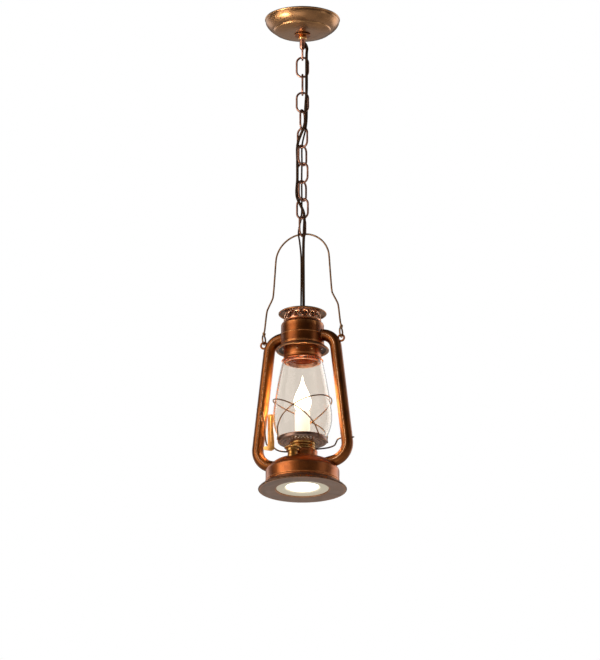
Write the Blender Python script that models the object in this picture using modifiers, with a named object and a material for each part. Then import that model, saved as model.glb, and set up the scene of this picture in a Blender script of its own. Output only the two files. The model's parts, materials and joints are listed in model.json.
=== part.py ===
"""Electrified barn lantern that hangs from a ceiling canopy on a link chain.

Metres, +Z up.  The origin is the centre of the ceiling plane, where the canopy's rim meets the
ceiling, so the whole fixture lies below it.  The two side tubes of the lantern lie in the XZ plane
and the filler cap faces -Y.  Sizes and outlines are named below in millimetres; every outline is a
list of (radius, height) points that runs down the outer side of the turned piece.
"""

import math

import bmesh
import bpy
from mathutils import Matrix, Vector

MM = 0.001
GAP = 0.3                      # space left between pieces that touch, in mm
STEPS_LARGE = 24
STEPS_SMALL = 16

# Ceiling fitting
CROSSBAR = (102.0, 16.0, 2.0)
BOX_SCREW_X = 34.9
GROUND_SCREW_X = -20.0
NIPPLE_RADIUS = 4.8
NIPPLE_BORE = 3.4
CANOPY_BOTTOM = -28.5
CANOPY_OUTLINE = [(63.5, 0), (64.0, -2.2), (62.6, -3.6), (63.0, -5.0), (59.5, -12.5), (53.0, -19.5),
                  (45.0, -24.8), (36.0, -27.6), (22.0, CANOPY_BOTTOM), (6.2, CANOPY_BOTTOM)]
STEM_RADIUS = 5.0
STEM_TOP = -37.3
LOOP_RADIUS = 9.75
LOOP_WIRE = 3.5
LOOP_BOTTOM = -73.75           # centre of the loop's wire at its lowest point

# Chain: each link is turned by its own angle from the direction of the canopy's broad face
CHAIN_HEADING = 18.0
LINK_ANGLES = (0, 90, 2, 68, -35, 48, -28, 52, -20, 60)
LINK_WIRE = 3.6
LINK_HALF_WIDTH = 9.8          # to the centre of the wire
LINK_PITCH = 31.9
CONTACT_GAP = 0.4
LINK_LENGTH = LINK_PITCH + LINK_WIRE + CONTACT_GAP
CHAIN_TOP = LOOP_BOTTOM + (LOOP_WIRE + LINK_WIRE) / 2 + CONTACT_GAP

# Cords: how far they pass from each link's plane, and from the bail's plane at the end
CORD_RADIUS = 2.4
GROUND_WIRE_RADIUS = 1.5
CORD_OFFSETS = (-5.2, -7.0, -5.2, -6.6, -5.2, 5.4, -5.4, 5.9, -5.6, -5.4, -5.2)
GROUND_OFFSETS = (4.3, -6.0, 4.5, -5.4, 4.6, 4.4, 4.4, 4.6, 5.2, 4.6, -4.3)

# Bail and the lugs that it hangs the lantern by
BAIL_WIRE = 3.0
BAIL_ARCH_RADIUS = 47.5
BAIL_TOP = CHAIN_TOP - 10 * LINK_PITCH
BAIL_SIDE = [(49.3, -462), (51.8, -493), (54.0, -501), (60.6, -514.5), (63.4, -523), (66.9, -552)]
HINGE_Z = -575.0
LUG_X = 67.8
LUG_RADIUS = 5.3
LUG_BAND = 2.8
LUG_THICKNESS = 2.0
EYE_RADIUS = 8.0
EYE_BOTTOM = HINGE_Z - LUG_BAND / 2 - BAIL_WIRE / 2 - 0.65

# Top of the lantern
SHEET = 0.8
CAP_OUTLINE = [(5.4, -524.4), (20.0, -525.2), (33.0, -527.2), (39.4, -529.4), (40.3, -531.2),
               (39.6, -532.2)]
BUSHING_TOP = -519.5
CROWN_OUTLINE = [(28.4, -529.4), (28.9, -536), (30.0, -542), (30.4, -546.2)]
CROWN_HOLE_Z = -538.0
CROWN_HOLES = 14
CHAMBER_OUTLINE = [(29.4, -546.8), (31.6, -547.8), (34.8, -549.8), (36.1, -553), (36.3, -568.6),
                   (37.1, -570.2), (36.3, -571.8), (36.6, -588.0)]
SKIRT_OUTLINE = [(36.8, -588.4), (38.4, -590.4), (43.6, -593.8), (44.8, -595.6), (44.2, -597.0),
                 (42.0, -597.2), (33.4, -596.2)]
COLLAR_OUTLINE = [(31.4, -591.5), (31.4, -610.5), (32.8, -613.4), (35.2, -614.8)]
TOP_RING = (27.2, 25.9, -611.6, -618.8)

# Globe and gallery
GLASS = 2.0
GLOBE_OUTLINE = [(33.8, -615.8), (37.0, -631), (41.2, -652), (45.6, -679), (49.0, -704), (49.2, -721),
                 (45.6, -737), (40.0, -750.0)]
GALLERY_OUTLINE = [(41.0, -750.8), (41.6, -753.6), (41.6, -756.8), (40.6, -758.2), (33.0, -759.2),
                   (22.8, -760.0)]
GALLERY_Z = -757.0
GLOBE_LIFT = 10.0
GUARD_WIRE = 2.2
GUARD_TOP = -684.0
GUARD_FOOT = -756.2
GUARD_SPAN = 150.0
GUARD_FALL = 2.26

# Side tubes: their centre line runs out of the chamber, down with a slight splay, and into the tank
TUBE_RADIUS = 9.8
TUBE_WALL = 1.0
TUBE_PATH = [(33.0, -572.0), (56.3, -572.0), (81.8, -790.0), (30.0, -800.2)]
TUBE_BENDS = (25.0, 30.0)

# Globe lift
LEVER_WIRE = 2.5
LEVER_AXIS_Z = -757.0
BRACKET_Y = -3.0
BRACKET_OUTLINE = [(-60.4, -704), (-51.0, -704), (-50.8, -730), (-49.6, -742), (-48.6, -752),
                   (-48.6, -766), (-54.0, -768.5), (-61.0, -767), (-67.6, -765), (-67.6, -759.4),
                   (-60.2, -759.4)]

# Burner, candle and bulb
BURNER_OUTLINE = [(8.0, -760.3), (13.4, -760.3), (13.4, -754.4), (17.6, -754.4), (21.4, -757.0),
                  (21.6, -760.8), (19.6, -763.2), (21.4, -765.6), (19.6, -768.0), (21.4, -770.4),
                  (20.4, -773.4), (8.0, -773.4)]
NECK_OUTLINE = [(24.8, -773.7), (25.0, -787.0), (17.0, -787.0), (17.0, -773.7)]
CANDLE_RADIUS = 12.6
CANDLE_TOP = -705.0
BULB_OUTLINE = [(0.0, -640.0), (1.2, -646.0), (3.4, -655.0), (8.0, -666.0), (12.8, -677.0),
                (14.6, -686.0), (13.6, -694.0), (10.6, -700.5), (7.2, -704.0), (0.0, -704.0)]

# Tank and downlight
TANK_OUTLINE = [(7.0, -787.3), (25.0, -787.4), (35.0, -789.0), (45.0, -792.5), (52.0, -797.5),
                (58.0, -803.0), (60.8, -806.0), (61.8, -808.5), (61.8, -828.6)]
BASE_OUTLINE = [(61.6, -829.5), (60.6, -830.8), (61.8, -832.2), (68.5, -835.4), (73.2, -838.0),
                (74.0, -839.8), (73.0, -841.4), (60.0, -841.2), (46.0, -840.6), (44.6, -839.4),
                (44.6, -836.0)]
FILLER_XY = (-4.3, -39.9)
FILLER_CAP_OUTLINE = [(0.0, -777.6), (12.8, -777.6), (14.0, -778.6), (13.4, -780.0), (10.6, -780.6),
                      (10.6, -784.6), (8.6, -784.6), (8.6, -780.8), (0.0, -780.8)]
SOCKET_OUTLINE = [(0, -733.5), (7.9, -733.5), (7.9, -709.0), (11.2, -709.0), (11.2, -758.0),
                  (0, -758.0)]
BULB_BASE_OUTLINE = [(0, -704.3), (7.0, -704.3), (7.4, -708.0), (7.4, -727.0), (3.0, -731.0),
                     (0, -731.0)]
TRIM_OUTLINE = [(44.0, -836.4), (44.0, -838.2), (34.0, -838.2), (28.4, -836.6), (26.4, -832.0),
                (26.4, -830.4), (29.2, -834.6), (34.0, -836.4)]
HOLDER_OUTLINE = [(0, -788.6), (12.4, -788.6), (12.4, -799.4), (10.4, -799.4), (9.8, -792.4),
                  (0, -792.4)]
LAMP_OUTLINE = [(0.0, -793.0), (9.0, -793.0), (9.5, -801.0), (17.0, -814.0), (24.6, -829.0),
                (25.6, -834.0), (25.0, -836.6), (0.0, -837.4)]

COPPER = ((0.40, 0.17, 0.07), 0.34, 0.95)
DARK_COPPER = ((0.22, 0.10, 0.05), 0.42, 0.90)
BRASS = ((0.62, 0.42, 0.16), 0.30, 0.95)
STEEL = ((0.55, 0.55, 0.56), 0.38, 0.95)
GREEN = ((0.08, 0.36, 0.14), 0.45, 0.60)
BROWN_PLASTIC = ((0.10, 0.055, 0.035), 0.50, 0.0)
GROUND_SLEEVE = ((0.13, 0.085, 0.05), 0.45, 0.0)
BLACK = ((0.03, 0.03, 0.03), 0.50, 0.0)
IVORY = ((0.85, 0.80, 0.68), 0.55, 0.0)
WHITE = ((0.88, 0.88, 0.86), 0.45, 0.0)
CLEAR = ((0.95, 0.96, 0.94), 0.03, 0.0)
GLOW = ((1.0, 0.93, 0.78), 0.20, 0.0)


def clear_scene():
    """Remove every object of the scene that the script starts in."""
    for obj in list(bpy.data.objects):
        bpy.data.objects.remove(obj, do_unlink=True)


def collection(name):
    """New collection linked to the scene."""
    made = bpy.data.collections.new(name)
    bpy.context.scene.collection.children.link(made)
    return made


def pivot(name, place, parent=None):
    """Empty on a joint's axis, which carries the pieces that the joint moves."""
    empty = bpy.data.objects.new(name, None)
    empty.empty_display_size = 0.02
    GUIDES.objects.link(empty)
    place_mm = Vector(place)
    if parent is None:
        empty.location = place_mm * MM
    else:
        empty.parent = parent
        empty.location = place_mm * MM - world_place(parent)
    return empty


def world_place(empty):
    """World position of a pivot whose chain of parents is only moved, never turned."""
    place = Vector(empty.location)
    while empty.parent is not None:
        empty = empty.parent
        place = place + Vector(empty.location)
    return place


def dress(obj, look):
    """Give an object its own Principled material: colour, roughness and metallic value."""
    colour, roughness, metallic = look
    material = bpy.data.materials.new(obj.name)
    material.use_nodes = True
    shader = material.node_tree.nodes["Principled BSDF"]
    shader.inputs["Base Color"].default_value = (*colour, 1.0)
    shader.inputs["Roughness"].default_value = roughness
    shader.inputs["Metallic"].default_value = metallic
    material.diffuse_color = (*colour, 1.0)
    obj.data.materials.append(material)


def add_part(name, data, look, carrier=None, place=(0.0, 0.0, 0.0)):
    """Put a mesh or curve into the lantern's collection as a named sub-part."""
    obj = bpy.data.objects.new(name, data)
    LANTERN.objects.link(obj)
    obj.location = Vector(place) * MM
    if carrier is not None:
        obj.parent = carrier
        obj.matrix_parent_inverse = Matrix.Translation(-world_place(carrier))
    dress(obj, look)
    return obj


def screw_modifier(obj, steps):
    """Turn an object's outline once round its Z axis."""
    turn = obj.modifiers.new("Turn", "SCREW")
    turn.axis = "Z"
    turn.angle = 2 * math.pi
    turn.steps = steps
    turn.render_steps = steps
    turn.use_merge_vertices = True
    turn.merge_threshold = 0.00001
    turn.use_smooth_shade = True


def wall_modifier(obj, thickness):
    """Thicken an open surface inwards into a wall."""
    wall = obj.modifiers.new("Wall", "SOLIDIFY")
    wall.thickness = thickness * MM
    wall.offset = -1.0
    wall.use_even_offset = True


def outline_mesh(name, outline, closed=False):
    """Mesh of bare edges through (radius, height) points in the XZ plane."""
    edges = [(i, i + 1) for i in range(len(outline) - 1)]
    if closed:
        edges.append((len(outline) - 1, 0))
    mesh = bpy.data.meshes.new(name)
    mesh.from_pydata([(r * MM, 0.0, z * MM) for r, z in outline], edges, [])
    return mesh


def turned(name, outline, look, carrier=None, wall=0.0, closed=False, steps=STEPS_LARGE,
           place=(0, 0, 0)):
    """Turned piece: a solid from a full outline, or a sheet wall from an open one."""
    obj = add_part(name, outline_mesh(name, outline, closed), look, carrier, place)
    screw_modifier(obj, steps)
    if wall:
        wall_modifier(obj, wall)
    return obj


def ring_outline(outer, inner, top, bottom):
    """Closed outline of a plain ring."""
    return [(outer, top), (outer, bottom), (inner, bottom), (inner, top)]


def cutter(name, mesh):
    """Object that only cuts others: it is not a piece of the lantern."""
    obj = bpy.data.objects.new(name, mesh)
    CUTTERS.objects.link(obj)
    obj.hide_render = True
    obj.display_type = "WIRE"
    return obj


def rods(name, places, steps=STEPS_SMALL):
    """Cutter made of cylinders: each is (matrix, radius, length), all in mm."""
    body = bmesh.new()
    for matrix, radius, length in places:
        scaled = Matrix.Scale(MM, 4) @ matrix
        bmesh.ops.create_cone(body, cap_ends=True, segments=steps, radius1=radius, radius2=radius,
                              depth=length, matrix=scaled)
    mesh = bpy.data.meshes.new(name)
    body.to_mesh(mesh)
    body.free()
    return cutter(name, mesh)


def subtract(obj, tool):
    """Cut one object with another."""
    cut = obj.modifiers.new("Cut " + tool.name, "BOOLEAN")
    cut.operation = "DIFFERENCE"
    cut.solver = "EXACT"
    cut.object = tool


def box_mesh(name, size, centre):
    """Plain box mesh, in mm."""
    body = bmesh.new()
    bmesh.ops.create_cube(body, size=1.0)
    bmesh.ops.scale(body, vec=Vector(size) * MM, verts=body.verts)
    bmesh.ops.translate(body, vec=Vector(centre) * MM, verts=body.verts)
    mesh = bpy.data.meshes.new(name)
    body.to_mesh(mesh)
    body.free()
    return mesh


def wire_curve(name, points, diameter, cyclic=False, caps=True, sides=2):
    """Round wire or tube along points in mm."""
    curve = bpy.data.curves.new(name, "CURVE")
    curve.dimensions = "3D"
    curve.bevel_depth = diameter / 2 * MM
    curve.bevel_resolution = sides
    curve.use_fill_caps = caps and not cyclic
    curve.resolution_u = 1
    curve.render_resolution_u = 0
    spline = curve.splines.new("POLY")
    spline.points.add(len(points) - 1)
    for point, place in zip(spline.points, points):
        point.co = (*(Vector(place) * MM), 1.0)
    spline.use_cyclic_u = cyclic
    return curve


def swept_mesh(name, points, diameter, caps=True, cyclic=False, sides=3):
    """Mesh of a tube along points, with its seam and caps welded and its faces turned outwards."""
    guide = bpy.data.objects.new(name, wire_curve(name, points, diameter, cyclic, caps, sides))
    CUTTERS.objects.link(guide)
    bpy.context.view_layer.update()
    mesh = bpy.data.meshes.new_from_object(guide.evaluated_get(bpy.context.evaluated_depsgraph_get()))
    bpy.data.objects.remove(guide, do_unlink=True)
    body = bmesh.new()
    body.from_mesh(mesh)
    bmesh.ops.remove_doubles(body, verts=body.verts, dist=0.00001)
    bmesh.ops.recalc_face_normals(body, faces=body.faces)
    body.to_mesh(mesh)
    body.free()
    mesh.shade_smooth()
    return mesh


def smooth_route(points, spacing):
    """Points at an even spacing along a smooth curve through a route's own points."""
    route = [Vector(point) for point in points]
    ends = [2 * route[0] - route[1]] + route + [2 * route[-1] - route[-2]]
    fine = []
    for before, start, end, after in zip(ends, ends[1:], ends[2:], ends[3:]):
        for step in range(12):
            t = step / 12
            fine.append(0.5 * (2 * start + (end - before) * t
                               + (2 * before - 5 * start + 4 * end - after) * t * t
                               + (3 * start - before - 3 * end + after) * t * t * t))
    fine.append(route[-1])
    return even_points(fine, spacing)


def even_points(points, spacing):
    """Points at equal distances along a polyline, both ends kept."""
    reach = [0.0]
    for start, end in zip(points, points[1:]):
        reach.append(reach[-1] + (end - start).length)
    count = max(2, round(reach[-1] / spacing))
    even = []
    index = 0
    for number in range(count + 1):
        wanted = reach[-1] * number / count
        while index < len(points) - 2 and reach[index + 1] < wanted:
            index += 1
        share = (wanted - reach[index]) / max(reach[index + 1] - reach[index], 1e-9)
        even.append(points[index].lerp(points[index + 1], min(share, 1.0)))
    return even


def rounded_path(corners, radii, steps=5):
    """Path of (x, z) corners with each inner corner replaced by an arc of its own radius."""
    path = [Vector(corners[0])]
    for before, corner, after, radius in zip(corners, corners[1:], corners[2:], radii):
        corner = Vector(corner)
        inward = (Vector(before) - corner).normalized()
        outward = (Vector(after) - corner).normalized()
        half = inward.angle(outward) / 2
        centre = corner + (inward + outward).normalized() * radius / math.sin(half)
        start = corner + inward * radius / math.tan(half) - centre
        end = corner + outward * radius / math.tan(half) - centre
        sweep = math.pi - 2 * half
        for step in range(steps + 1):
            share = step / steps
            weight_start = math.sin((1 - share) * sweep) / math.sin(sweep)
            weight_end = math.sin(share * sweep) / math.sin(sweep)
            path.append(centre + start * weight_start + end * weight_end)
    path.append(Vector(corners[-1]))
    return path


def tube_centre(side):
    """Centre line of a side tube: side is -1 for the left tube and 1 for the right one."""
    return [Vector((side * x, 0.0, z)) for x, z in rounded_path(TUBE_PATH, TUBE_BENDS)]


def heading(angle):
    """Horizontal unit vector at an angle in degrees from +X."""
    return Vector((math.cos(math.radians(angle)), math.sin(math.radians(angle)), 0.0))


def make_ceiling_fitting():
    """Crossbar, nipple and screws under the canopy, and the loop that the chain hangs on."""
    thick = CROSSBAR[2]
    bar = add_part("crossbar", box_mesh("crossbar", CROSSBAR, (0, 0, -thick / 2)), STEEL)
    holes = [(Matrix.Identity(4), NIPPLE_RADIUS + 0.4, 12.0),
             (Matrix.Translation((GROUND_SCREW_X, 0, 0)), 2.3, 12.0)]
    for side in (-1, 1):
        slot = Matrix.Translation((side * BOX_SCREW_X, 0, 0)) @ Matrix.Diagonal((3.0, 1, 1, 1))
        holes.append((slot, 2.4, 12.0))
    subtract(bar, rods("crossbar_holes", holes))
    turned("threaded_nipple", ring_outline(NIPPLE_RADIUS, NIPPLE_BORE, -0.3, -36.9), BRASS, closed=True,
           steps=STEPS_SMALL)
    under = -thick - GAP
    locknut = ring_outline(8.8, NIPPLE_RADIUS + 1.2, under, under - 3.2)
    turned("nipple_locknut", locknut, STEEL, closed=True, steps=6)
    screw = [(0, -0.3), (1.9, -0.3), (1.9, under), (3.9, under), (3.9, under - 2.0), (0, under - 2.6)]
    turned("ground_screw", screw, GREEN, steps=12, place=(GROUND_SCREW_X, 0, 0))
    for side, name in ((-1, "box_screw_left"), (1, "box_screw_right")):
        turned(name, screw, STEEL, steps=12, place=(side * BOX_SCREW_X, 0, 0))
    turned("canopy", CANOPY_OUTLINE, COPPER, wall=SHEET)
    washer = CANOPY_BOTTOM - GAP
    ring = [(9.5, washer), (13.2, washer - 0.5), (13.8, washer - 1.6), (12.6, washer - 2.5),
            (5.4, washer - 2.5), (5.4, washer)]
    turned("check_ring", ring, DARK_COPPER, closed=True, steps=20)
    nut = washer - 2.5 - GAP
    turned("screw_collar", [(5.9, nut), (6.9, nut - 0.9), (6.9, nut - 4.6), (6.0, STEM_TOP + 0.3),
                            (5.25, STEM_TOP + 0.3), (5.25, nut)], BRASS, closed=True, steps=STEPS_SMALL)
    make_ceiling_loop()


def make_ceiling_loop():
    """Hollow stem with a cast ring below it and a wireway that lets the cord out at the side."""
    ring_top = LOOP_BOTTOM + 2 * LOOP_RADIUS
    depth = heading(CHAIN_HEADING + 90)
    ring = []
    for step in range(20):
        turn = 2 * math.pi * step / 20
        centre = Vector((0, 0, LOOP_BOTTOM + LOOP_RADIUS))
        ring.append(centre + LOOP_RADIUS * (depth * math.sin(turn) + Vector((0, 0, math.cos(turn)))))
    ring_tool = cutter("loop_ring", swept_mesh("loop_ring", ring, LOOP_WIRE, cyclic=True, sides=2))
    outline = [(0, STEM_TOP), (STEM_RADIUS, STEM_TOP), (STEM_RADIUS, ring_top + 2.5),
               (3.4, ring_top - 0.6), (0, ring_top - 0.8)]
    stem = turned("ceiling_loop", outline, DARK_COPPER, steps=STEPS_SMALL)
    join = stem.modifiers.new("Ring", "BOOLEAN")
    join.operation = "UNION"
    join.solver = "EXACT"
    join.object = ring_tool
    exit_way = Matrix.Translation(heading(CHAIN_HEADING) * 4.0 + Vector((0, 0, -47.5)))
    exit_way = exit_way @ Matrix.Rotation(math.radians(CHAIN_HEADING), 4, "Z")
    exit_way = exit_way @ Matrix.Rotation(math.radians(-48), 4, "Y")
    bores = [(Matrix.Translation((0, 0, -41)), 2.7, 10.0), (exit_way, 2.7, 15.0)]
    subtract(stem, rods("wireway", bores, 12))


def link_points(number):
    """Wire centre line of a chain link, which hangs in the link above it."""
    across = heading(CHAIN_HEADING + LINK_ANGLES[number])
    middle = CHAIN_TOP - number * LINK_PITCH - LINK_LENGTH / 2
    straight = LINK_LENGTH / 2 - LINK_HALF_WIDTH
    points = []
    for end in (1, -1):
        for step in range(8):
            turn = math.pi * step / 7
            out = end * LINK_HALF_WIDTH * math.cos(turn)
            up = middle + end * (straight + LINK_HALF_WIDTH * math.sin(turn))
            points.append(across * out + Vector((0, 0, up)))
    return points


def make_chain():
    """Ten wire links, each in its own plane."""
    for number in range(len(LINK_ANGLES)):
        carrier = TOP_LINK_PIVOT if number == 0 else CHAIN_PIVOT
        name = "chain_link_%02d" % (number + 1)
        wire = wire_curve(name, link_points(number), LINK_WIRE, cyclic=True)
        add_part(name, wire, DARK_COPPER, carrier)


def woven_route(offsets):
    """Points where a cord passes each joint of the chain, kept beside the planes of both links."""
    angles = [CHAIN_HEADING + angle for angle in LINK_ANGLES] + [0.0]
    points = []
    for number in range(len(LINK_ANGLES)):
        upper = heading(angles[number] + 90)
        lower = heading(angles[number + 1] + 90)
        spread = upper.x * lower.y - upper.y * lower.x
        x = (offsets[number] * lower.y - offsets[number + 1] * upper.y) / spread
        y = (upper.x * offsets[number + 1] - lower.x * offsets[number]) / spread
        points.append(Vector((x, y, CHAIN_TOP - (number + 1) * LINK_PITCH + 1.7)))
    return points


def beside(right, away, height):
    """Point beside the chain: to the right of it and behind it, as the canopy's broad face is seen."""
    return heading(CHAIN_HEADING) * right + heading(CHAIN_HEADING + 90) * away + Vector((0, 0, height))


def make_cords():
    """Supply cord and ground wire, woven beside the chain and down into the bushing of the cap."""
    foot = BUSHING_TOP + GAP
    cord = [beside(8.0, -0.6, -53.5), beside(7.2, -3.0, -62), beside(7.0, -5.2, -74)]
    cord += woven_route(CORD_OFFSETS)
    cord += [beside(1.8, -4.2, -405), beside(1.5, -1.5, -430)]
    cord += [beside(1.7, 0, -470), beside(1.9, 0, foot)]
    add_part("supply_cord", wire_curve("supply_cord", smooth_route(cord, 13.0), 2 * CORD_RADIUS),
             BROWN_PLASTIC, CHAIN_PIVOT)
    ground = [beside(7.0, 4.2, -53.5), beside(6.3, 4.4, -62), beside(6.0, 4.5, -74)]
    ground += woven_route(GROUND_OFFSETS)
    ground += [beside(-4.6, -2.6, -405), beside(-3.0, -0.6, -430)]
    ground += [beside(-2.7, 0, -470), beside(-2.5, 0, foot)]
    wire = wire_curve("ground_wire", smooth_route(ground, 10.5), 2 * GROUND_WIRE_RADIUS)
    add_part("ground_wire", wire, GROUND_SLEEVE, CHAIN_PIVOT)


def make_bail():
    """Bent wire handle with a round eye at each end."""
    half = [Vector((LUG_X, 0.6, EYE_BOTTOM + 2 * EYE_RADIUS + 4.5))]
    half += [Vector((x, 0, z)) for x, z in reversed(BAIL_SIDE)]
    for degrees in range(0, 91, 15):
        turn = math.radians(degrees)
        half.append(Vector((BAIL_ARCH_RADIUS * math.cos(turn), 0,
                            BAIL_TOP - BAIL_ARCH_RADIUS + BAIL_ARCH_RADIUS * math.sin(turn))))
    eye = []
    for degrees in range(130, 431, 25):
        turn = math.radians(degrees)
        height = EYE_BOTTOM + EYE_RADIUS * (1 + math.sin(turn))
        eye.append(Vector((LUG_X, EYE_RADIUS * math.cos(turn), height)))
    arm = smooth_route(half, 11.0)
    right = eye + arm
    left = [Vector((-point.x, point.y, point.z)) for point in reversed(right[:-1])]
    add_part("bail", wire_curve("bail", right + left, BAIL_WIRE), DARK_COPPER, CHAIN_PIVOT)


def make_top():
    """Cap, cord bushing, vented crown, air chamber and its flared skirt."""
    turned("cap", CAP_OUTLINE, COPPER, LANTERN_PIVOT, wall=SHEET)
    turned("cord_bushing", [(4.6, BUSHING_TOP), (7.6, BUSHING_TOP - 1), (7.6, -523.6), (4.9, -524.0),
                            (4.9, -528.6), (4.3, -528.6), (4.3, BUSHING_TOP)], BRASS, LANTERN_PIVOT,
           closed=True, steps=STEPS_SMALL)
    crown = turned("crown", CROWN_OUTLINE, COPPER, LANTERN_PIVOT, wall=SHEET, steps=28)
    ovals = []
    for number in range(CROWN_HOLES):
        turn = Matrix.Rotation(2 * math.pi * (number + 0.5) / CROWN_HOLES, 4, "Z")
        lie = Matrix.Rotation(math.pi / 2, 4, "Y") @ Matrix.Diagonal((3.2, 4.1, 1, 1))
        ovals.append((turn @ Matrix.Translation((29.0, 0, CROWN_HOLE_Z)) @ lie, 1.0, 8.0))
    subtract(crown, rods("crown_vents", ovals, 8))
    chamber = turned("air_chamber", CHAMBER_OUTLINE, COPPER, LANTERN_PIVOT, wall=SHEET)
    along_x = Matrix.Translation((0, 0, TUBE_PATH[0][1])) @ Matrix.Rotation(math.pi / 2, 4, "Y")
    subtract(chamber, rods("tube_ports", [(along_x, TUBE_RADIUS - TUBE_WALL - 0.6, 90.0)]))
    turned("chamber_skirt", SKIRT_OUTLINE, DARK_COPPER, LANTERN_PIVOT, wall=0.7)


def clearance_solids():
    """Shapes of the chamber and the tank, a little oversize, that the tube ends are fitted to."""
    chamber = [(0, -540), (37.1 + GAP, -540), (37.1 + GAP, -588), (0, -588)]
    tank = [(0, TANK_OUTLINE[0][1] + GAP)]
    tank += [(r + GAP, z + GAP) for r, z in TANK_OUTLINE]
    tank.append((0, TANK_OUTLINE[-1][1]))
    tools = []
    for name, outline in (("chamber_clearance", chamber), ("tank_clearance", tank)):
        tool = cutter(name, outline_mesh(name, outline))
        screw_modifier(tool, STEPS_LARGE)
        tools.append(tool)
    return tools


def make_tubes(tools):
    """Two hollow side tubes with a lug each, and the cable inside the left one."""
    lever_hole = Matrix.Translation((80, 0, LEVER_AXIS_Z)) @ Matrix.Rotation(math.pi / 2, 4, "Y")
    lever_way = rods("lever_way", [(lever_hole, LEVER_WIRE / 2 + 0.45, 50.0)], 12)
    for side, name in ((-1, "left"), (1, "right")):
        path = tube_centre(side)
        sweep = swept_mesh(name + "_tube", path, 2 * TUBE_RADIUS, caps=False)
        tube = add_part(name + "_tube", sweep, COPPER, LANTERN_PIVOT)
        wall_modifier(tube, TUBE_WALL)
        for tool in tools:
            subtract(tube, tool)
        if side == 1:
            subtract(tube, lever_way)
        lug = turned(name + "_lug", lug_outline(), COPPER, LANTERN_PIVOT, closed=True, steps=20)
        lug.location = Vector((side * LUG_X, 0, HINGE_Z - LUG_RADIUS)) * MM
        lug.rotation_euler = (math.pi / 2, 0, 0)
        saddle = swept_mesh(name + "_tube_fit", path, 2 * (TUBE_RADIUS + GAP))
        subtract(lug, cutter(name + "_tube_fit", saddle))
    inner = tube_centre(-1)
    lead = [Vector((0, 0, -540)), Vector((0, 0, -558)), Vector((-8, 0, -569))] + inner[1:-1]
    lead += [Vector((-34, 0, -799.4)), Vector((-21, 0, -801.5))]
    cable = wire_curve("lamp_cable", smooth_route(lead, 14.0), 4.0)
    add_part("lamp_cable", cable, BLACK, LANTERN_PIVOT)


def lug_outline():
    """Flat band of a lug, turned about the lug's own axis."""
    half_band = LUG_BAND / 2
    half_depth = LUG_THICKNESS / 2
    return ring_outline(LUG_RADIUS + half_band, LUG_RADIUS - half_band, half_depth, -half_depth)


def globe_radius(height):
    """Outer radius of the glass at a height, between its outline's points."""
    for (r1, z1), (r2, z2) in zip(GLOBE_OUTLINE, GLOBE_OUTLINE[1:]):
        if z2 <= height <= z1:
            return r1 + (r2 - r1) * (height - z1) / (z2 - z1)
    return GLOBE_OUTLINE[-1][0]


def guard_points(peak, spread):
    """Guard wire: it rises from the gallery, wraps the globe at its peak and falls on the far side."""
    points = []
    for step in range(-14, 15):
        turn = GUARD_SPAN * step / 14
        height = GUARD_TOP + (GUARD_FOOT - GUARD_TOP) * abs(turn / GUARD_SPAN) ** GUARD_FALL
        radius = max(globe_radius(height) + 2.8, 43.2)
        radius += spread * math.exp(-((abs(turn) - 90) / 16) ** 2)
        points.append(heading(peak + turn) * radius + Vector((0, 0, height)))
    return points


def make_globe():
    """Collar, inner ring, glass globe, gallery and guard wires, which the lever lifts together."""
    turned("globe_collar", COLLAR_OUTLINE, COPPER, GLOBE_PIVOT, wall=0.7)
    turned("globe_top_ring", ring_outline(*TOP_RING), COPPER, GLOBE_PIVOT, closed=True)
    smooth = [(point.x, point.z) for point in smooth_route([(r, 0, z) for r, z in GLOBE_OUTLINE], 13.0)]
    turned("globe", smooth, CLEAR, GLOBE_PIVOT, wall=GLASS)
    turned("gallery", GALLERY_OUTLINE, BRASS, GLOBE_PIVOT, wall=SHEET)
    turned("globe_seat", ring_outline(39.6, 23.0, -751.0, -752.2), BRASS, GLOBE_PIVOT, closed=True)
    for name, peak, spread in (("guard_wire_a", 0.0, 0.0), ("guard_wire_b", 180.0, 3.2)):
        wire = wire_curve(name, guard_points(peak, spread), GUARD_WIRE)
        add_part(name, wire, DARK_COPPER, GLOBE_PIVOT)


def make_lift():
    """Lever wire with its crank under the gallery, and the bracket that steadies it."""
    outline = bpy.data.curves.new("lever_bracket", "CURVE")
    outline.dimensions = "2D"
    outline.fill_mode = "BOTH"
    outline.extrude = 0.5 * MM
    outline.render_resolution_u = 0
    spline = outline.splines.new("POLY")
    spline.points.add(len(BRACKET_OUTLINE) - 1)
    for point, (x, z) in zip(spline.points, BRACKET_OUTLINE):
        point.co = (x * MM, z * MM, 0.0, 1.0)
    spline.use_cyclic_u = True
    bracket = add_part("lever_bracket", outline, BRASS, LANTERN_PIVOT, (0, BRACKET_Y, 0))
    bracket.rotation_euler = (math.pi / 2, 0, 0)
    axis = LEVER_AXIS_Z
    route = [(90.4, 0, axis), (79.0, 0, axis), (66.0, 0, axis), (61.0, 2.0, axis - 1.2),
             (56.5, 8.0, axis - 4.2), (51.0, 16.0, axis - 6.0), (42.0, 22.5, axis - 6.3),
             (31.0, 26.0, axis - 6.3), (0.0, 26.2, axis - 6.3), (-31.0, 26.0, axis - 6.3),
             (-42.0, 22.0, axis - 6.3), (-49.0, 14.0, axis - 5.6),
             (-53.0, 5.5, axis - 2.6), (-56.0, 0.8, axis), (-61.5, 0, axis), (-63.5, -2.5, axis + 5),
             (-63.5, -8.0, axis + 20), (-63.6, -12.0, axis + 38), (-64.6, -13.6, axis + 50),
             (-67.0, -14.2, axis + 54.5), (-69.6, -14.4, axis + 51), (-68.4, -14.2, axis + 43),
             (-66.4, -13.8, axis + 38)]
    wire = wire_curve("lift_lever", smooth_route(route, 6.5), LEVER_WIRE)
    add_part("lift_lever", wire, DARK_COPPER, LEVER_PIVOT)


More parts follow.
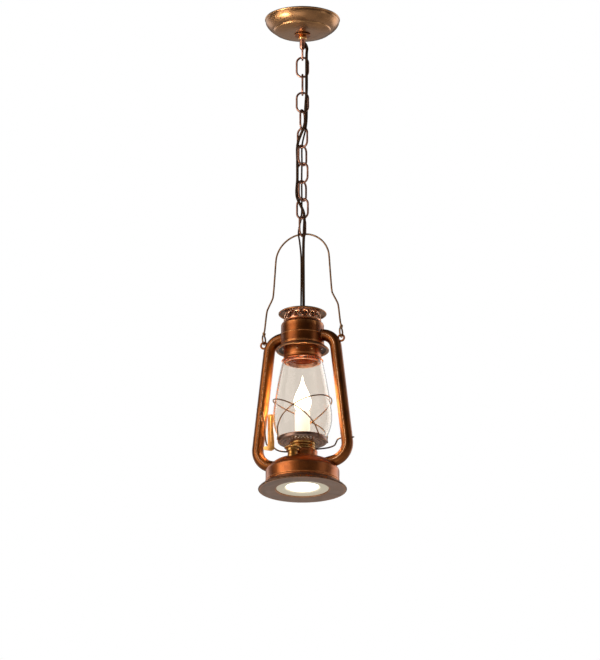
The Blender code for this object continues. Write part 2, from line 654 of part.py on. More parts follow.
def make_burner():
    """Ridged burner, candle sleeve, lamp socket and the bulb in it."""
    turned("burner", BURNER_OUTLINE, BRASS, LANTERN_PIVOT, closed=True)
    turned("tank_neck", NECK_OUTLINE, DARK_COPPER, LANTERN_PIVOT, closed=True)
    turned("candle_sleeve", ring_outline(CANDLE_RADIUS, CANDLE_RADIUS - 0.8, CANDLE_TOP, -760.0), IVORY,
           LANTERN_PIVOT, closed=True, steps=24)
    turned("bulb_socket", SOCKET_OUTLINE, BLACK, LANTERN_PIVOT, steps=20)
    turned("bulb_base", BULB_BASE_OUTLINE, BRASS, BULB_PIVOT, steps=STEPS_SMALL)
    turned("bulb", BULB_OUTLINE, GLOW, BULB_PIVOT, steps=20)


def tube_end(side):
    """Rod that fits inside the lower end of a side tube, where it opens into the tank."""
    start, end = Vector(TUBE_PATH[-2]), Vector(TUBE_PATH[-1])
    middle = start.lerp(end, 0.7)
    slope = math.atan2(end.y - start.y, end.x - start.x)
    lie = Matrix.Rotation(-side * slope, 4, "Y") @ Matrix.Rotation(math.pi / 2, 4, "Y")
    return Matrix.Translation((side * middle.x, 0, middle.y)) @ lie, TUBE_RADIUS - TUBE_WALL - 0.8, 34.0


def make_tank(tank_clearance):
    """Tank, base, filler and the downlight recessed in the base."""
    tank = turned("tank", TANK_OUTLINE, COPPER, LANTERN_PIVOT, wall=SHEET)
    subtract(tank, rods("tank_ports", [tube_end(-1), tube_end(1)]))
    turned("base_flange", BASE_OUTLINE, COPPER, LANTERN_PIVOT, wall=SHEET)
    centre = (*FILLER_XY, 0)
    neck = turned("filler_neck", ring_outline(8.0, 6.6, -781.4, -799.0), BRASS, LANTERN_PIVOT,
                  closed=True, steps=STEPS_SMALL, place=centre)
    subtract(neck, tank_clearance)
    turned("filler_cap", FILLER_CAP_OUTLINE, BRASS, FILLER_PIVOT, steps=20, place=centre)
    turned("downlight_trim", TRIM_OUTLINE, WHITE, LANTERN_PIVOT, closed=True)
    turned("lamp_holder", HOLDER_OUTLINE, BLACK, LANTERN_PIVOT, steps=STEPS_SMALL)
    turned("downlight_lamp", LAMP_OUTLINE, GLOW, DOWNLIGHT_PIVOT)


clear_scene()
LANTERN = collection("hanging_lantern")
CUTTERS = collection("cutters")
GUIDES = collection("guides")
TOP_LINK_PIVOT = pivot("top_link_pivot", (0, 0, LOOP_BOTTOM))
CHAIN_PIVOT = pivot("chain_pivot", (0, 0, CHAIN_TOP - LINK_LENGTH), TOP_LINK_PIVOT)
LANTERN_PIVOT = pivot("lantern_pivot", (0, 0, HINGE_Z), CHAIN_PIVOT)
GLOBE_PIVOT = pivot("globe_pivot", (0, 0, GALLERY_Z), LANTERN_PIVOT)
LEVER_PIVOT = pivot("lever_pivot", (0, 0, LEVER_AXIS_Z), LANTERN_PIVOT)
BULB_PIVOT = pivot("bulb_pivot", (0, 0, CANDLE_TOP), LANTERN_PIVOT)
FILLER_PIVOT = pivot("filler_pivot", (*FILLER_XY, FILLER_CAP_OUTLINE[0][1]), LANTERN_PIVOT)
DOWNLIGHT_PIVOT = pivot("downlight_pivot", (0, 0, LAMP_OUTLINE[-1][1]), LANTERN_PIVOT)

make_ceiling_fitting()
make_chain()
make_cords()
make_bail()
make_top()
CLEARANCES = clearance_solids()
make_tubes(CLEARANCES)
make_globe()
make_lift()
make_burner()
make_tank(CLEARANCES[1])
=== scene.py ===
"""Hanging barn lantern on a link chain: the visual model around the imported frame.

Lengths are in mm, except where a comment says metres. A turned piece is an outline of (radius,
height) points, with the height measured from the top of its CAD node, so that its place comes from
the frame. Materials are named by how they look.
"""

import json
import math

import bmesh
import bpy
from mathutils import Matrix, Vector


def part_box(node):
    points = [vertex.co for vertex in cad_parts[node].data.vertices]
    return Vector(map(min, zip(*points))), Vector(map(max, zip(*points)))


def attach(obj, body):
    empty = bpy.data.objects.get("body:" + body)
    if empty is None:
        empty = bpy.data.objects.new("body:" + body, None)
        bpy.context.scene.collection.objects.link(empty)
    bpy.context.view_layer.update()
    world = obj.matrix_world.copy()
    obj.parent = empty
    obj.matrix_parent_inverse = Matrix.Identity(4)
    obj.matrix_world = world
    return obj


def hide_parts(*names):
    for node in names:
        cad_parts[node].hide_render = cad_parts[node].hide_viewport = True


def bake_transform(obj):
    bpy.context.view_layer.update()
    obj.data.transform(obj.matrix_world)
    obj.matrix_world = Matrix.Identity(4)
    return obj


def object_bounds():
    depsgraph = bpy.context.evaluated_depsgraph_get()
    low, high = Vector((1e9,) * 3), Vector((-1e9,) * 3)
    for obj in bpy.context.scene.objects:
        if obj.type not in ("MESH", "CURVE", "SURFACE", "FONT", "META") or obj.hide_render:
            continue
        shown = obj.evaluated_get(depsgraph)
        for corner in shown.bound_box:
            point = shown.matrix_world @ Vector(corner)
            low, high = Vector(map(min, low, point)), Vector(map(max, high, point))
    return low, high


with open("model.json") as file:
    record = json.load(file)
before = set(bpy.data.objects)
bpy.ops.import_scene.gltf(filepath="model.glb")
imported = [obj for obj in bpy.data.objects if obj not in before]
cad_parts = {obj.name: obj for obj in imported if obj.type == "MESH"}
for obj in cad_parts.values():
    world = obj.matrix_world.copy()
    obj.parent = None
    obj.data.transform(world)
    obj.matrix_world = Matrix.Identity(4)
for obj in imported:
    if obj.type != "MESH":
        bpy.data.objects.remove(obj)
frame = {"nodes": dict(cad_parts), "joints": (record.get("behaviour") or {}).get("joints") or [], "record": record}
CAD_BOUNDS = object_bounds()

MM = 0.001
SCENE = bpy.context.scene
NODES = frame["nodes"]
BODIES = frame["record"]["behaviour"]["bodies"]
BODY_OF = {node: body for body, nodes in BODIES.items() for node in nodes}


# ---------------------------------------------------------------- camera, light and floor, in metres

CAMERA_AZIMUTH = 18.0
CAMERA_ELEVATION = -18.4
CAMERA_DISTANCE = 12.0
SENSOR_WIDTH = 36.0
VIEW_HEIGHT = 1.111            # metres across the long side of the picture, at the lantern
AIM_SHARE = 0.3351             # height of the camera's target, as a share from foot to top
FRAMING = 0.0042               # metres the lantern hangs to the right of the picture's middle
LAMP_SHARE = 0.62              # height most lamps face: 0 is the top, 1 the foot
DIM_WORLD = 0.075              # strength of the surroundings where they light or reflect
FLOOR_DEPTH = 5.2
FLOOR_REACH = 60.0
FLOOR_GLOW = 0.35              # light of the floor, and what the camera sees on top of it
FLOOR_SEEN = 0.5


def direction(azimuth, elevation):
    """Unit vector from the object towards a viewer: azimuth 0 is in front (-Y), 90 is at +X."""
    a, e = math.radians(azimuth), math.radians(elevation)
    return Vector((math.sin(a) * math.cos(e), -math.cos(a) * math.cos(e), math.sin(e)))


def heading(angle):
    """Horizontal unit vector at an angle in degrees from +X."""
    return Vector((math.cos(math.radians(angle)), math.sin(math.radians(angle)), 0.0))


def aim(obj, target):
    """Point a camera or lamp at a place."""
    obj.rotation_mode = "QUATERNION"
    obj.rotation_quaternion = (Vector(target) - obj.location).to_track_quat("-Z", "Y")


def link_object(name, data):
    """New object in the scene."""
    obj = bpy.data.objects.new(name, data)
    SCENE.collection.objects.link(obj)
    return obj


def make_camera():
    """Long lens far below the lantern, level with the viewer's eye, looking up at it."""
    low, high = CAD_BOUNDS
    target = Vector((0.0, 0.0, low.z + AIM_SHARE * (high.z - low.z)))
    target -= heading(CAMERA_AZIMUTH) * FRAMING
    camera = bpy.data.cameras.new("camera")
    camera.sensor_width = SENSOR_WIDTH
    camera.lens = SENSOR_WIDTH * CAMERA_DISTANCE / VIEW_HEIGHT
    camera.clip_end = 200.0
    obj = link_object("camera", camera)
    obj.location = target + direction(CAMERA_AZIMUTH, CAMERA_ELEVATION) * CAMERA_DISTANCE
    aim(obj, target)
    SCENE.camera = obj


def softbox(name, azimuth, elevation, distance, size, power, colour=(1.0, 1.0, 1.0),
            facing=LAMP_SHARE, spread=180):
    """Rectangular studio lamp, placed round the camera's azimuth and facing the object."""
    lamp = bpy.data.lights.new(name, "AREA")
    lamp.shape = "RECTANGLE"
    lamp.size, lamp.size_y = size
    lamp.energy = power
    lamp.color = colour
    lamp.spread = math.radians(spread)
    obj = link_object(name, lamp)
    middle = Vector((0.0, 0.0, (CAD_BOUNDS[0].z + CAD_BOUNDS[1].z) * facing))
    obj.location = middle + direction(CAMERA_AZIMUTH + azimuth, elevation) * distance
    aim(obj, middle)


def make_studio():
    """Surroundings that are white when seen and dim in reflections, and the soft boxes."""
    world = bpy.data.worlds.new("studio")
    SCENE.world = world
    world.use_nodes = True
    tree = world.node_tree
    tree.nodes.clear()
    seen, dim = [add_node(tree, "ShaderNodeBackground", {"Color": colour, "Strength": strength})
                 for colour, strength in (((1.0, 1.0, 1.0, 1.0), 1.0),
                                          ((1.0, 0.97, 0.93, 1.0), DIM_WORLD))]
    path = add_node(tree, "ShaderNodeLightPath").outputs
    direct = combine(tree, "MAXIMUM", path["Is Camera Ray"], path["Is Transmission Ray"])
    out = add_node(tree, "ShaderNodeOutputWorld")
    mix_shaders(tree, direct, dim, seen, out.inputs[0])
    SCENE.view_settings.view_transform = "Standard"
    softbox("key_left", -60, 14, 2.6, (1.9, 2.8), 46, (1.0, 0.93, 0.84))
    softbox("rim_left", -140, 12, 2.8, (1.2, 2.8), 12)
    softbox("rim_right", 128, 12, 2.8, (2.0, 2.8), 28)
    softbox("fill_right", 66, 14, 3.0, (0.9, 2.6), 5)
    softbox("front_low", -20, -45, 3.0, (1.6, 1.6), 9)
    softbox("canopy_glint", -66, -37, 1.5, (0.6, 0.45), 0.9, (1.0, 0.95, 0.85),
            facing=0.02, spread=28)


def make_floor():
    """Pale floor far below, which looks as white as the surroundings to the camera."""
    mesh = bpy.data.meshes.new("floor")
    mesh.from_pydata([(x * FLOOR_REACH, y * FLOOR_REACH, 0)
                      for x, y in ((-1, -1), (1, -1), (1, 1), (-1, 1))], [], [(0, 1, 2, 3)])
    floor = link_object("floor", mesh)
    floor.location.z = -FLOOR_DEPTH
    tree, shader = new_material("pale_floor")
    set_inputs(shader, {"Base Color": (0.86, 0.86, 0.85, 1.0), "Roughness": 0.9,
                        "Emission Color": (1.0, 0.99, 0.97, 1.0)})
    seen = add_node(tree, "ShaderNodeLightPath").outputs["Is Camera Ray"]
    glow = combine(tree, "ADD", combine(tree, "MULTIPLY", seen, FLOOR_SEEN), FLOOR_GLOW)
    tree.links.new(glow, shader.inputs["Emission Strength"])
    mesh.materials.append(MATERIALS["pale_floor"])


# ---------------------------------------------------------------- materials

MATERIALS = {}


def new_material(name):
    """Node tree and Principled shader of a new material."""
    material = MATERIALS[name] = bpy.data.materials.new(name)
    material.use_nodes = True
    return material.node_tree, material.node_tree.nodes["Principled BSDF"]


def set_inputs(node, values):
    """Values of a node's unlinked sockets."""
    for key, value in values.items():
        node.inputs[key].default_value = value


def add_node(tree, kind, values=None, **settings):
    """Node with its settings and the values of its unlinked sockets."""
    node = tree.nodes.new(kind)
    for key, value in settings.items():
        setattr(node, key, value)
    set_inputs(node, values or {})
    return node


def feed(tree, socket, value):
    """Link a socket to another one, or give it a plain value."""
    if isinstance(value, bpy.types.NodeSocket):
        tree.links.new(value, socket)
    else:
        socket.default_value = value


def noise(tree, scale, stretch=(1.0, 1.0, 1.0), detail=4.0, roughness=0.55, distortion=0.0):
    """Noise over the object's own space, in features per metre."""
    place = add_node(tree, "ShaderNodeTexCoord")
    fit = add_node(tree, "ShaderNodeMapping", {"Scale": stretch})
    tree.links.new(place.outputs["Object"], fit.inputs["Vector"])
    made = add_node(tree, "ShaderNodeTexNoise", {"Scale": scale, "Detail": detail,
                                                 "Roughness": roughness, "Distortion": distortion})
    tree.links.new(fit.outputs[0], made.inputs["Vector"])
    return made.outputs["Fac"]


def ramp(tree, source, stops):
    """Colours or greys at positions along a value."""
    made = add_node(tree, "ShaderNodeValToRGB")
    band = made.color_ramp
    while len(band.elements) < len(stops):
        band.elements.new(0.5)
    for element, (position, value) in zip(band.elements, stops):
        element.position = position
        element.color = (*value, 1.0) if isinstance(value, tuple) else (value, value, value, 1.0)
    tree.links.new(source, made.inputs[0])
    return made.outputs[0]


def mix_colour(tree, factor, first, second, blend="MIX"):
    """Two colours mixed; any argument is a socket or a plain value."""
    made = add_node(tree, "ShaderNodeMix", data_type="RGBA", blend_type=blend)
    for socket, value in ((0, factor), (6, first), (7, second)):
        feed(tree, made.inputs[socket], (*value, 1.0) if isinstance(value, tuple) else value)
    return made.outputs[2]


def combine(tree, operation, first, second):
    """Math node on sockets or numbers."""
    made = add_node(tree, "ShaderNodeMath", operation=operation)
    for socket, value in zip(made.inputs, (first, second)):
        feed(tree, socket, value)
    return made.outputs[0]


def mix_shaders(tree, factor, first, second, surface):
    """Feed a surface the first shader where the factor is 0 and the second where it is 1."""
    mix = add_node(tree, "ShaderNodeMixShader")
    for socket, source in zip(mix.inputs, (factor, first.outputs[0], second.outputs[0])):
        tree.links.new(source, socket)
    tree.links.new(mix.outputs[0], surface)


def bump(tree, shader, height, strength, distance):
    """Bump on a shader from a height."""
    made = add_node(tree, "ShaderNodeBump", {"Strength": strength, "Distance": distance * MM})
    tree.links.new(height, made.inputs["Height"])
    tree.links.new(made.outputs[0], shader.inputs["Normal"])


GRAIN = {"turned": (14.0, 14.0, 1500.0), "drawn": (1100.0, 1100.0, 16.0),
         "cast": (420.0, 420.0, 420.0)}
METAL = {"grain": "turned", "patch": 26.0, "wear": 0.75, "relief": 0.35, "lacquer": 0.14}


def metal(name, deep, body, bright, roughness, other=None):
    """Aged metal: patches of patina, fine speckle, brushed grain and polished high edges."""
    look = {**METAL, **(other or {})}
    tree, shader = new_material(name)
    patches = noise(tree, look["patch"], detail=6.0, roughness=0.62, distortion=0.6)
    colour = ramp(tree, patches, [(0.30, deep), (0.50, body),
                                  (0.78, tuple(1.12 * c for c in body))])
    speckle = noise(tree, 900.0, detail=3.0)
    colour = mix_colour(tree, 0.55, colour, ramp(tree, speckle, [(0.32, 0.52), (0.52, 1.0)]),
                        "MULTIPLY")
    edge = add_node(tree, "ShaderNodeNewGeometry").outputs["Pointiness"]
    worn = ramp(tree, edge, [(0.508, 0.0), (0.56, look["wear"])])
    scuffs = ramp(tree, noise(tree, 160.0), [(0.35, 0.25), (0.6, 1.0)])
    colour = mix_colour(tree, combine(tree, "MULTIPLY", worn, scuffs), colour, bright)
    tree.links.new(colour, shader.inputs["Base Color"])
    streaks = noise(tree, 1.0, GRAIN[look["grain"]], detail=2.0)
    cloud = noise(tree, look["patch"] * 2.3, detail=4.0)
    shine = combine(tree, "ADD", combine(tree, "MULTIPLY", streaks, 0.4),
                    combine(tree, "MULTIPLY", cloud, 0.6))
    tree.links.new(ramp(tree, shine, [(0.34, roughness[0]), (0.66, roughness[1])]),
                   shader.inputs["Roughness"])
    set_inputs(shader, {"Metallic": 1.0, "Coat Weight": look["lacquer"], "Coat Roughness": 0.28})
    height = combine(tree, "ADD", streaks, combine(tree, "MULTIPLY", speckle, 0.5))
    bump(tree, shader, height, look["relief"], 0.05)


def moulded(name, dark, light, roughness, stretch=(1.0, 1.0, 1.0), shine=0.5):
    """Plastic or cord: slight tone changes and a fine surface; shine is its index above 1."""
    tree, shader = new_material(name)
    tone = noise(tree, 40.0, detail=5.0)
    tree.links.new(ramp(tree, tone, [(0.3, dark), (0.7, light)]), shader.inputs["Base Color"])
    fine = noise(tree, 500.0, stretch, detail=3.0)
    tree.links.new(ramp(tree, fine, [(0.3, roughness[0]), (0.7, roughness[1])]),
                   shader.inputs["Roughness"])
    shader.inputs["IOR"].default_value = 1.0 + shine
    bump(tree, shader, fine, 0.25, 0.06)


def clear_glass(name, tint, edge):
    """Blown glass with a faint waviness, which lets lamp light through."""
    tree, shader = new_material(name)
    wave = noise(tree, 22.0, (1.0, 1.0, 0.35), detail=1.0)
    tree.links.new(ramp(tree, wave, [(0.2, edge), (0.8, tint)]), shader.inputs["Base Color"])
    set_inputs(shader, {"Transmission Weight": 1.0, "Roughness": 0.0, "IOR": 1.2,
                        "Specular IOR Level": 0.25})
    bump(tree, shader, wave, 0.25, 0.8)
    shadow = add_node(tree, "ShaderNodeLightPath").outputs["Is Shadow Ray"]
    open_to_light = add_node(tree, "ShaderNodeBsdfTransparent", {"Color": (0.94, 0.93, 0.9, 1.0)})
    mix_shaders(tree, shadow, shader, open_to_light,
                tree.nodes["Material Output"].inputs["Surface"])


def glowing(name, low, high, span, strength, roughness=0.2, base=(0.92, 0.90, 0.86)):
    """Lamp, or painted light on a part a lamp lights; its colour goes from low to high over a span of heights."""
    tree, shader = new_material(name)
    place = add_node(tree, "ShaderNodeTexCoord")
    part = add_node(tree, "ShaderNodeSeparateXYZ")
    tree.links.new(place.outputs["Object"], part.inputs[0])
    share = add_node(tree, "ShaderNodeMapRange",
                     {"From Min": span[0] * MM, "From Max": span[1] * MM})
    tree.links.new(part.outputs["Z"], share.inputs["Value"])
    light = ramp(tree, share.outputs[0], [(0.0, low), (1.0, high)])
    frost = noise(tree, 700.0)
    light = mix_colour(tree, 1.0, light, ramp(tree, frost, [(0.2, 0.93), (0.8, 1.0)]), "MULTIPLY")
    tree.links.new(light, shader.inputs["Emission Color"])
    set_inputs(shader, {"Base Color": (*base, 1.0), "Emission Strength": strength,
                        "Roughness": roughness})


COPPER_BRIGHT = (0.90, 0.36, 0.12)

# colours of the patina, the metal and its worn edges, roughness, and what else differs
METALS = {
    "antique_copper": ((0.22, 0.055, 0.012), (0.43, 0.118, 0.024), COPPER_BRIGHT, (0.28, 0.44),
                       {"lacquer": 0.3}),
    "drum_copper": ((0.12, 0.030, 0.006), (0.24, 0.063, 0.012), COPPER_BRIGHT, (0.28, 0.44)),
    "drawn_copper": ((0.14, 0.040, 0.009), (0.24, 0.070, 0.014), COPPER_BRIGHT, (0.32, 0.46),
                     {"grain": "drawn", "relief": 0.1, "lacquer": 0.12}),
    "canopy_copper": ((0.22, 0.098, 0.034), (0.38, 0.175, 0.064), (0.9, 0.5, 0.2), (0.24, 0.38),
                      {"lacquer": 0.4}),
    "cap_copper": ((0.15, 0.070, 0.033), (0.30, 0.150, 0.072), COPPER_BRIGHT, (0.3, 0.46)),
    "flange_copper": ((0.22, 0.115, 0.065), (0.34, 0.180, 0.105), COPPER_BRIGHT, (0.3, 0.46),
                      {"lacquer": 0.3}),
    "ring_copper": ((0.16, 0.085, 0.060), (0.30, 0.175, 0.130), (0.8, 0.56, 0.44), (0.26, 0.42)),
    # painted highlight: a bright copper for the tubes' seam wires and the collar's dimples
    "painted_highlight_copper": ((0.46, 0.19, 0.08), (0.72, 0.34, 0.16), (0.98, 0.60, 0.34), (0.2, 0.34)),
    "crown_copper": ((0.40, 0.19, 0.11), (0.66, 0.34, 0.21), (0.95, 0.62, 0.45), (0.2, 0.38)),
    # dull_copper is the crown baffle's dark metal, which also paints the shade inside the crown
    "dull_copper": ((0.12, 0.078, 0.055), (0.20, 0.136, 0.100), (0.5, 0.28, 0.16), (0.4, 0.58)),
    # dark_copper is the lever wire's own colour, and painted shade on the skirt's recess, the flange's rim bead
    # and the globe's seat
    "dark_copper": ((0.030, 0.014, 0.008), (0.07, 0.034, 0.018), (0.4, 0.2, 0.1), (0.4, 0.58)),
    "chain_copper": ((0.045, 0.018, 0.011), (0.125, 0.050, 0.030), (0.62, 0.30, 0.20),
                     (0.26, 0.46), {"grain": "cast", "patch": 60.0, "wear": 0.8}),
    "guard_wire": ((0.05, 0.025, 0.014), (0.15, 0.068, 0.030), (0.6, 0.34, 0.16), (0.25, 0.42),
                   {"grain": "cast", "patch": 50.0, "wear": 0.6}),
    "bright_brass": ((0.36, 0.13, 0.025), (0.66, 0.27, 0.055), (0.98, 0.62, 0.26), (0.24, 0.4)),
    "aged_brass": ((0.17, 0.072, 0.018), (0.46, 0.205, 0.045), (0.95, 0.58, 0.2), (0.2, 0.4)),
    "gallery_plate": ((0.13, 0.072, 0.055), (0.27, 0.160, 0.120), (0.8, 0.5, 0.3), (0.26, 0.44)),
    "zinc_steel": ((0.36, 0.35, 0.32), (0.56, 0.56, 0.54), (0.8, 0.8, 0.8), (0.3, 0.5),
                   {"grain": "cast"}),
    "green_screw": ((0.02, 0.12, 0.045), (0.05, 0.27, 0.10), (0.35, 0.55, 0.38), (0.3, 0.5),
                    {"grain": "cast"}),
}
for metal_name, looks in METALS.items():
    metal(metal_name, *looks)
moulded("brown_cord", (0.026, 0.013, 0.007), (0.050, 0.026, 0.015), (0.75, 0.9), (1.0, 1.0, 0.35),
        0.03)
moulded("brown_sleeve", (0.034, 0.018, 0.010), (0.068, 0.038, 0.022), (0.65, 0.8), shine=0.05)
moulded("black_plastic", (0.012, 0.012, 0.012), (0.03, 0.03, 0.03), (0.35, 0.5))
clear_glass("clear_glass", (0.842, 0.792, 0.738), (0.816, 0.766, 0.712))


# ---------------------------------------------------------------- shapes

WELD = 0.000004                # metres between points that are one
SHARP_EDGE = 38                # degrees between faces that are shaded apart
ROUND_END = (80, 52, 25)       # degrees of the rings on a wire's rounded end
HOLE_SIDES = 20


def finish_piece(name, vertices, faces, node, material, on=None, sharp=SHARP_EDGE):
    """Piece from vertices in mm: welded, facing outwards, shaded, dressed, and riding on the body
    of the node it stands for or, without one, of the node it is on."""
    mesh = bpy.data.meshes.new(name)
    mesh.from_pydata([tuple(c * MM for c in v) for v in vertices], [], faces)
    work = bmesh.new()
    work.from_mesh(mesh)
    bmesh.ops.remove_doubles(work, verts=work.verts, dist=WELD)
    bmesh.ops.dissolve_degenerate(work, edges=work.edges, dist=WELD / 2)
    bmesh.ops.recalc_face_normals(work, faces=work.faces)
    work.to_mesh(mesh)
    work.free()
    mesh.shade_smooth()
    mesh.set_sharp_from_angle(angle=math.radians(sharp))
    mesh.materials.append(MATERIALS[material])
    obj = link_object(name, mesh)
    if node:
        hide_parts(node)
    if node or on:
        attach(obj, BODY_OF[node or on])
    return obj


def top_of(node):
    """Height of a node's top, in mm."""
    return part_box(node)[1].z / MM


def middle_of(node):
    """Centre of a node's box, in mm."""
    low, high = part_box(node)
    return (low + high) / 2 / MM


NEARLY_STRAIGHT = math.radians(165)


def soften(outline, radius, steps=3):
    """Closed outline with its corners rounded."""
    made = []
    for index, corner in enumerate(outline):
        here = Vector(corner)
        back = Vector(outline[index - 1]) - here
        ahead = Vector(outline[(index + 1) % len(outline)]) - here
        if back.angle(ahead) > NEARLY_STRAIGHT:
            made.append(corner)
            continue
        reach = min(radius, 0.45 * back.length, 0.45 * ahead.length)
        start, end = here + back.normalized() * reach, here + ahead.normalized() * reach
        for step in range(steps + 1):
            t = step / steps
            made.append(tuple(start * (1 - t) ** 2 + here * 2 * t * (1 - t) + end * t * t))
    return made


def smooth(points, steps):
    """Smooth curve through points, in a number of steps between each two (Catmull-Rom)."""
    points = [Vector(p) for p in points]
    ends = [2 * points[0] - points[1]] + points + [2 * points[-1] - points[-2]]
    made = []
    for a, b, c, d in zip(ends, ends[1:], ends[2:], ends[3:]):
        for step in range(steps):
            t = step / steps
            made.append(0.5 * (2 * b + (c - a) * t + (2 * a - 5 * b + 4 * c - d) * t * t
                               + (3 * b - a - 3 * c + d) * t ** 3))
    return made + [points[-1]]


def flowing(outline, steps):
    """Outline through the same points as a smooth curve."""
    return [tuple(p) for p in smooth(outline, steps)]


def sheet(outline, wall, bead=0.0):
    """Closed outline of a sheet: outer side, an optional rolled edge at the end, inner side."""
    outer = [Vector(p) for p in outline]
    normals = []
    for before, after in zip(outer[:1] + outer, outer[1:] + outer[-1:]):
        along = (after - before).normalized()
        normals.append(Vector((-along.y, along.x)))
    inner = [p - n * wall for p, n in zip(outer, normals)]
    made = [tuple(p) for p in outer]
    if bead:
        normal = normals[-1]
        centre = outer[-1] - normal * bead
        along = Vector((normal.y, -normal.x))
        for step in range(1, 13):
            turn = math.radians(23 * step)
            made.append(tuple(centre + normal * bead * math.cos(turn)
                              + along * bead * math.sin(turn)))
        inner = inner[:-1]
    made += [tuple(p) for p in reversed(inner)]
    return made


def circle(steps):
    """Angles all the way round."""
    return [2 * math.pi * step / steps for step in range(steps)]


def ring_faces(rings, sides, loop=False, around=True):
    """Quads between rings of points; loop joins the last ring to the first, around closes each."""
    faces = []
    for ring in range(rings if loop else rings - 1):
        here, ahead = ring * sides, (ring + 1) % rings * sides
        for side in range(sides if around else sides - 1):
            nxt = (side + 1) % sides
            faces.append((here + side, ahead + side, ahead + nxt, here + nxt))
    return faces


def lathe(name, node, outline, material, closed=True, steps=96, at=(0.0, 0.0), on=None,
          knurl=None, sharp=SHARP_EDGE, top=None):
    """Turned piece that stands for a node, or that only sits on one.  knurl is (teeth, depth, top,
    bottom): ribs round the piece between two heights."""
    base = top_of(node or on) if top is None else top
    vertices = []
    for turn in circle(steps):
        for r, z in outline:
            if knurl and knurl[3] <= z <= knurl[2]:
                r += knurl[1] * math.cos(knurl[0] * turn)
            vertices.append((at[0] + r * math.cos(turn), at[1] + r * math.sin(turn), base + z))
    faces = ring_faces(steps, len(outline), True, closed)
    return finish_piece(name, vertices, faces, node, material, on, sharp)


def frames_along(points, closed=False, side=None):
    """Tangent, side and third direction at each point of a path, without twist."""
    count = len(points)
    tangents = []
    for i in range(count):
        before = points[i - 1] if closed or i else points[0]
        after = points[(i + 1) % count] if closed or i < count - 1 else points[-1]
        tangents.append((after - before).normalized())
    if side is None:
        side = tangents[0].orthogonal().normalized()
    made = []
    for tangent in tangents:
        side = (side - tangent * side.dot(tangent)).normalized()
        made.append((tangent, side, tangent.cross(side)))
    return made


def swept(points, radius, sides, closed=False, side=None, ends="flat", shape=None):
    """Vertices and faces of a tube along points; shape(distance, angle) adds to the radius."""
    points = [Vector(p) for p in points]
    rings = [(p, f, 1.0) for p, f in zip(points, frames_along(points, closed, side))]
    if ends == "round" and not closed:
        # a rounded end starts half a radius before the end of the path, and goes as far past it
        turns = [math.radians(a) for a in ROUND_END]
        head, tail = [[(p + f[0] * sign * radius * (math.sin(a) - 0.5), f, math.cos(a))
                       for a in turns] for sign, (p, f, _) in ((-1, rings[0]), (1, rings[-1]))]
        rings = head + rings[1:-1] + tail[::-1]
    vertices = []
    travelled = 0.0
    for number, (point, (_, first, second), scale) in enumerate(rings):
        if number:
            travelled += (point - rings[number - 1][0]).length
        for turn in circle(sides):
            r = radius * scale + (shape(travelled, turn) if shape else 0.0)
            vertices.append(point + first * r * math.cos(turn) + second * r * math.sin(turn))
    faces = ring_faces(len(rings), sides, closed)
    if not closed and ends != "open":
        faces.append(tuple(reversed(range(sides))))
        faces.append(tuple((len(rings) - 1) * sides + step for step in range(sides)))
    return vertices, faces


def smooth_route(points, spacing):
    """Evenly spaced points on one smooth curve through a route."""
    return even_points(smooth(points, 16), spacing)


def path_length(points):
    """Length of a polyline."""
    return sum((b - a).length for a, b in zip(points, points[1:]))


def distances_along(points):
    """Distance of each point of a polyline from its start."""
    made = [0.0]
    for start, end in zip(points, points[1:]):
        made.append(made[-1] + (end - start).length)
    return made


def even_points(points, spacing):
    """Points at equal distances along a polyline."""
    reach = distances_along(points)
    count = max(2, round(reach[-1] / spacing))
    made, index = [], 0
    for number in range(count + 1):
        wanted = reach[-1] * number / count
        while index < len(points) - 2 and reach[index + 1] < wanted:
            index += 1
        share = (wanted - reach[index]) / max(reach[index + 1] - reach[index], 1e-9)
        made.append(points[index].lerp(points[index + 1], min(share, 1.0)))
    return made


def wire(name, node, points, radius, material, sides, closed=False, ends="round", on=None,
         side=None, shape=None):
    """Round wire or tube that stands for a node, or that only sits on one."""
    vertices, faces = swept(points, radius, sides, closed, side, ends, shape)
    return finish_piece(name, vertices, faces, node, material, on)


def pierced(name, node, profile, rows, material, wall, inner, lip=0.0, on=None):
    """Turned sheet with rows of holes.  profile(share) gives (radius, height) along the sheet, rows
    are (start share, end share, count, width share, height share, phase), lip raises the holes'
    edges and inner is the size of a hole inside its lip."""
    vertices, faces = [], []

    def place(share, turn, lift):
        r, z = profile(share)
        r2, z2 = profile(min(share + 0.01, 1.0))
        r1, z1 = profile(max(share - 0.01, 0.0))
        along = Vector((r2 - r1, z2 - z1)).normalized()
        r, z = r - along.y * lift, z + along.x * lift
        vertices.append((r * math.cos(turn), r * math.sin(turn), z))

    def squarish(x, size):
        return math.copysign(abs(x) ** 0.7, x) * size

    for start, end, count, wide, high, phase in rows:
        pitch = 2 * math.pi / count
        for number in range(count):
            centre = (number + phase) * pitch
            first = len(vertices)
            # rings of a cell: its border, the foot of the lip, the lip, and the hole's inside
            for size, lift in ((None, 0.0), (1.0, 0.0), ((1 + inner) / 2, lip), (inner, lip * 0.4)):
                for turn in circle(HOLE_SIDES):
                    x, y = math.cos(turn), math.sin(turn)
                    if size is None:
                        stretch = 1 / max(abs(x), abs(y))
                        u, v = x * stretch, y * stretch
                    else:
                        u, v = squarish(x, wide * size), squarish(y, high * size)
                    place((start + end) / 2 + v * (end - start) / 2, centre + u * pitch / 2, lift)
            faces += [tuple(first + i for i in face) for face in ring_faces(4, HOLE_SIDES)]
    obj = finish_piece(name, vertices, faces, node, material, on)
    thicken = obj.modifiers.new("wall", "SOLIDIFY")
    thicken.thickness = wall * MM
    thicken.offset = -1.0


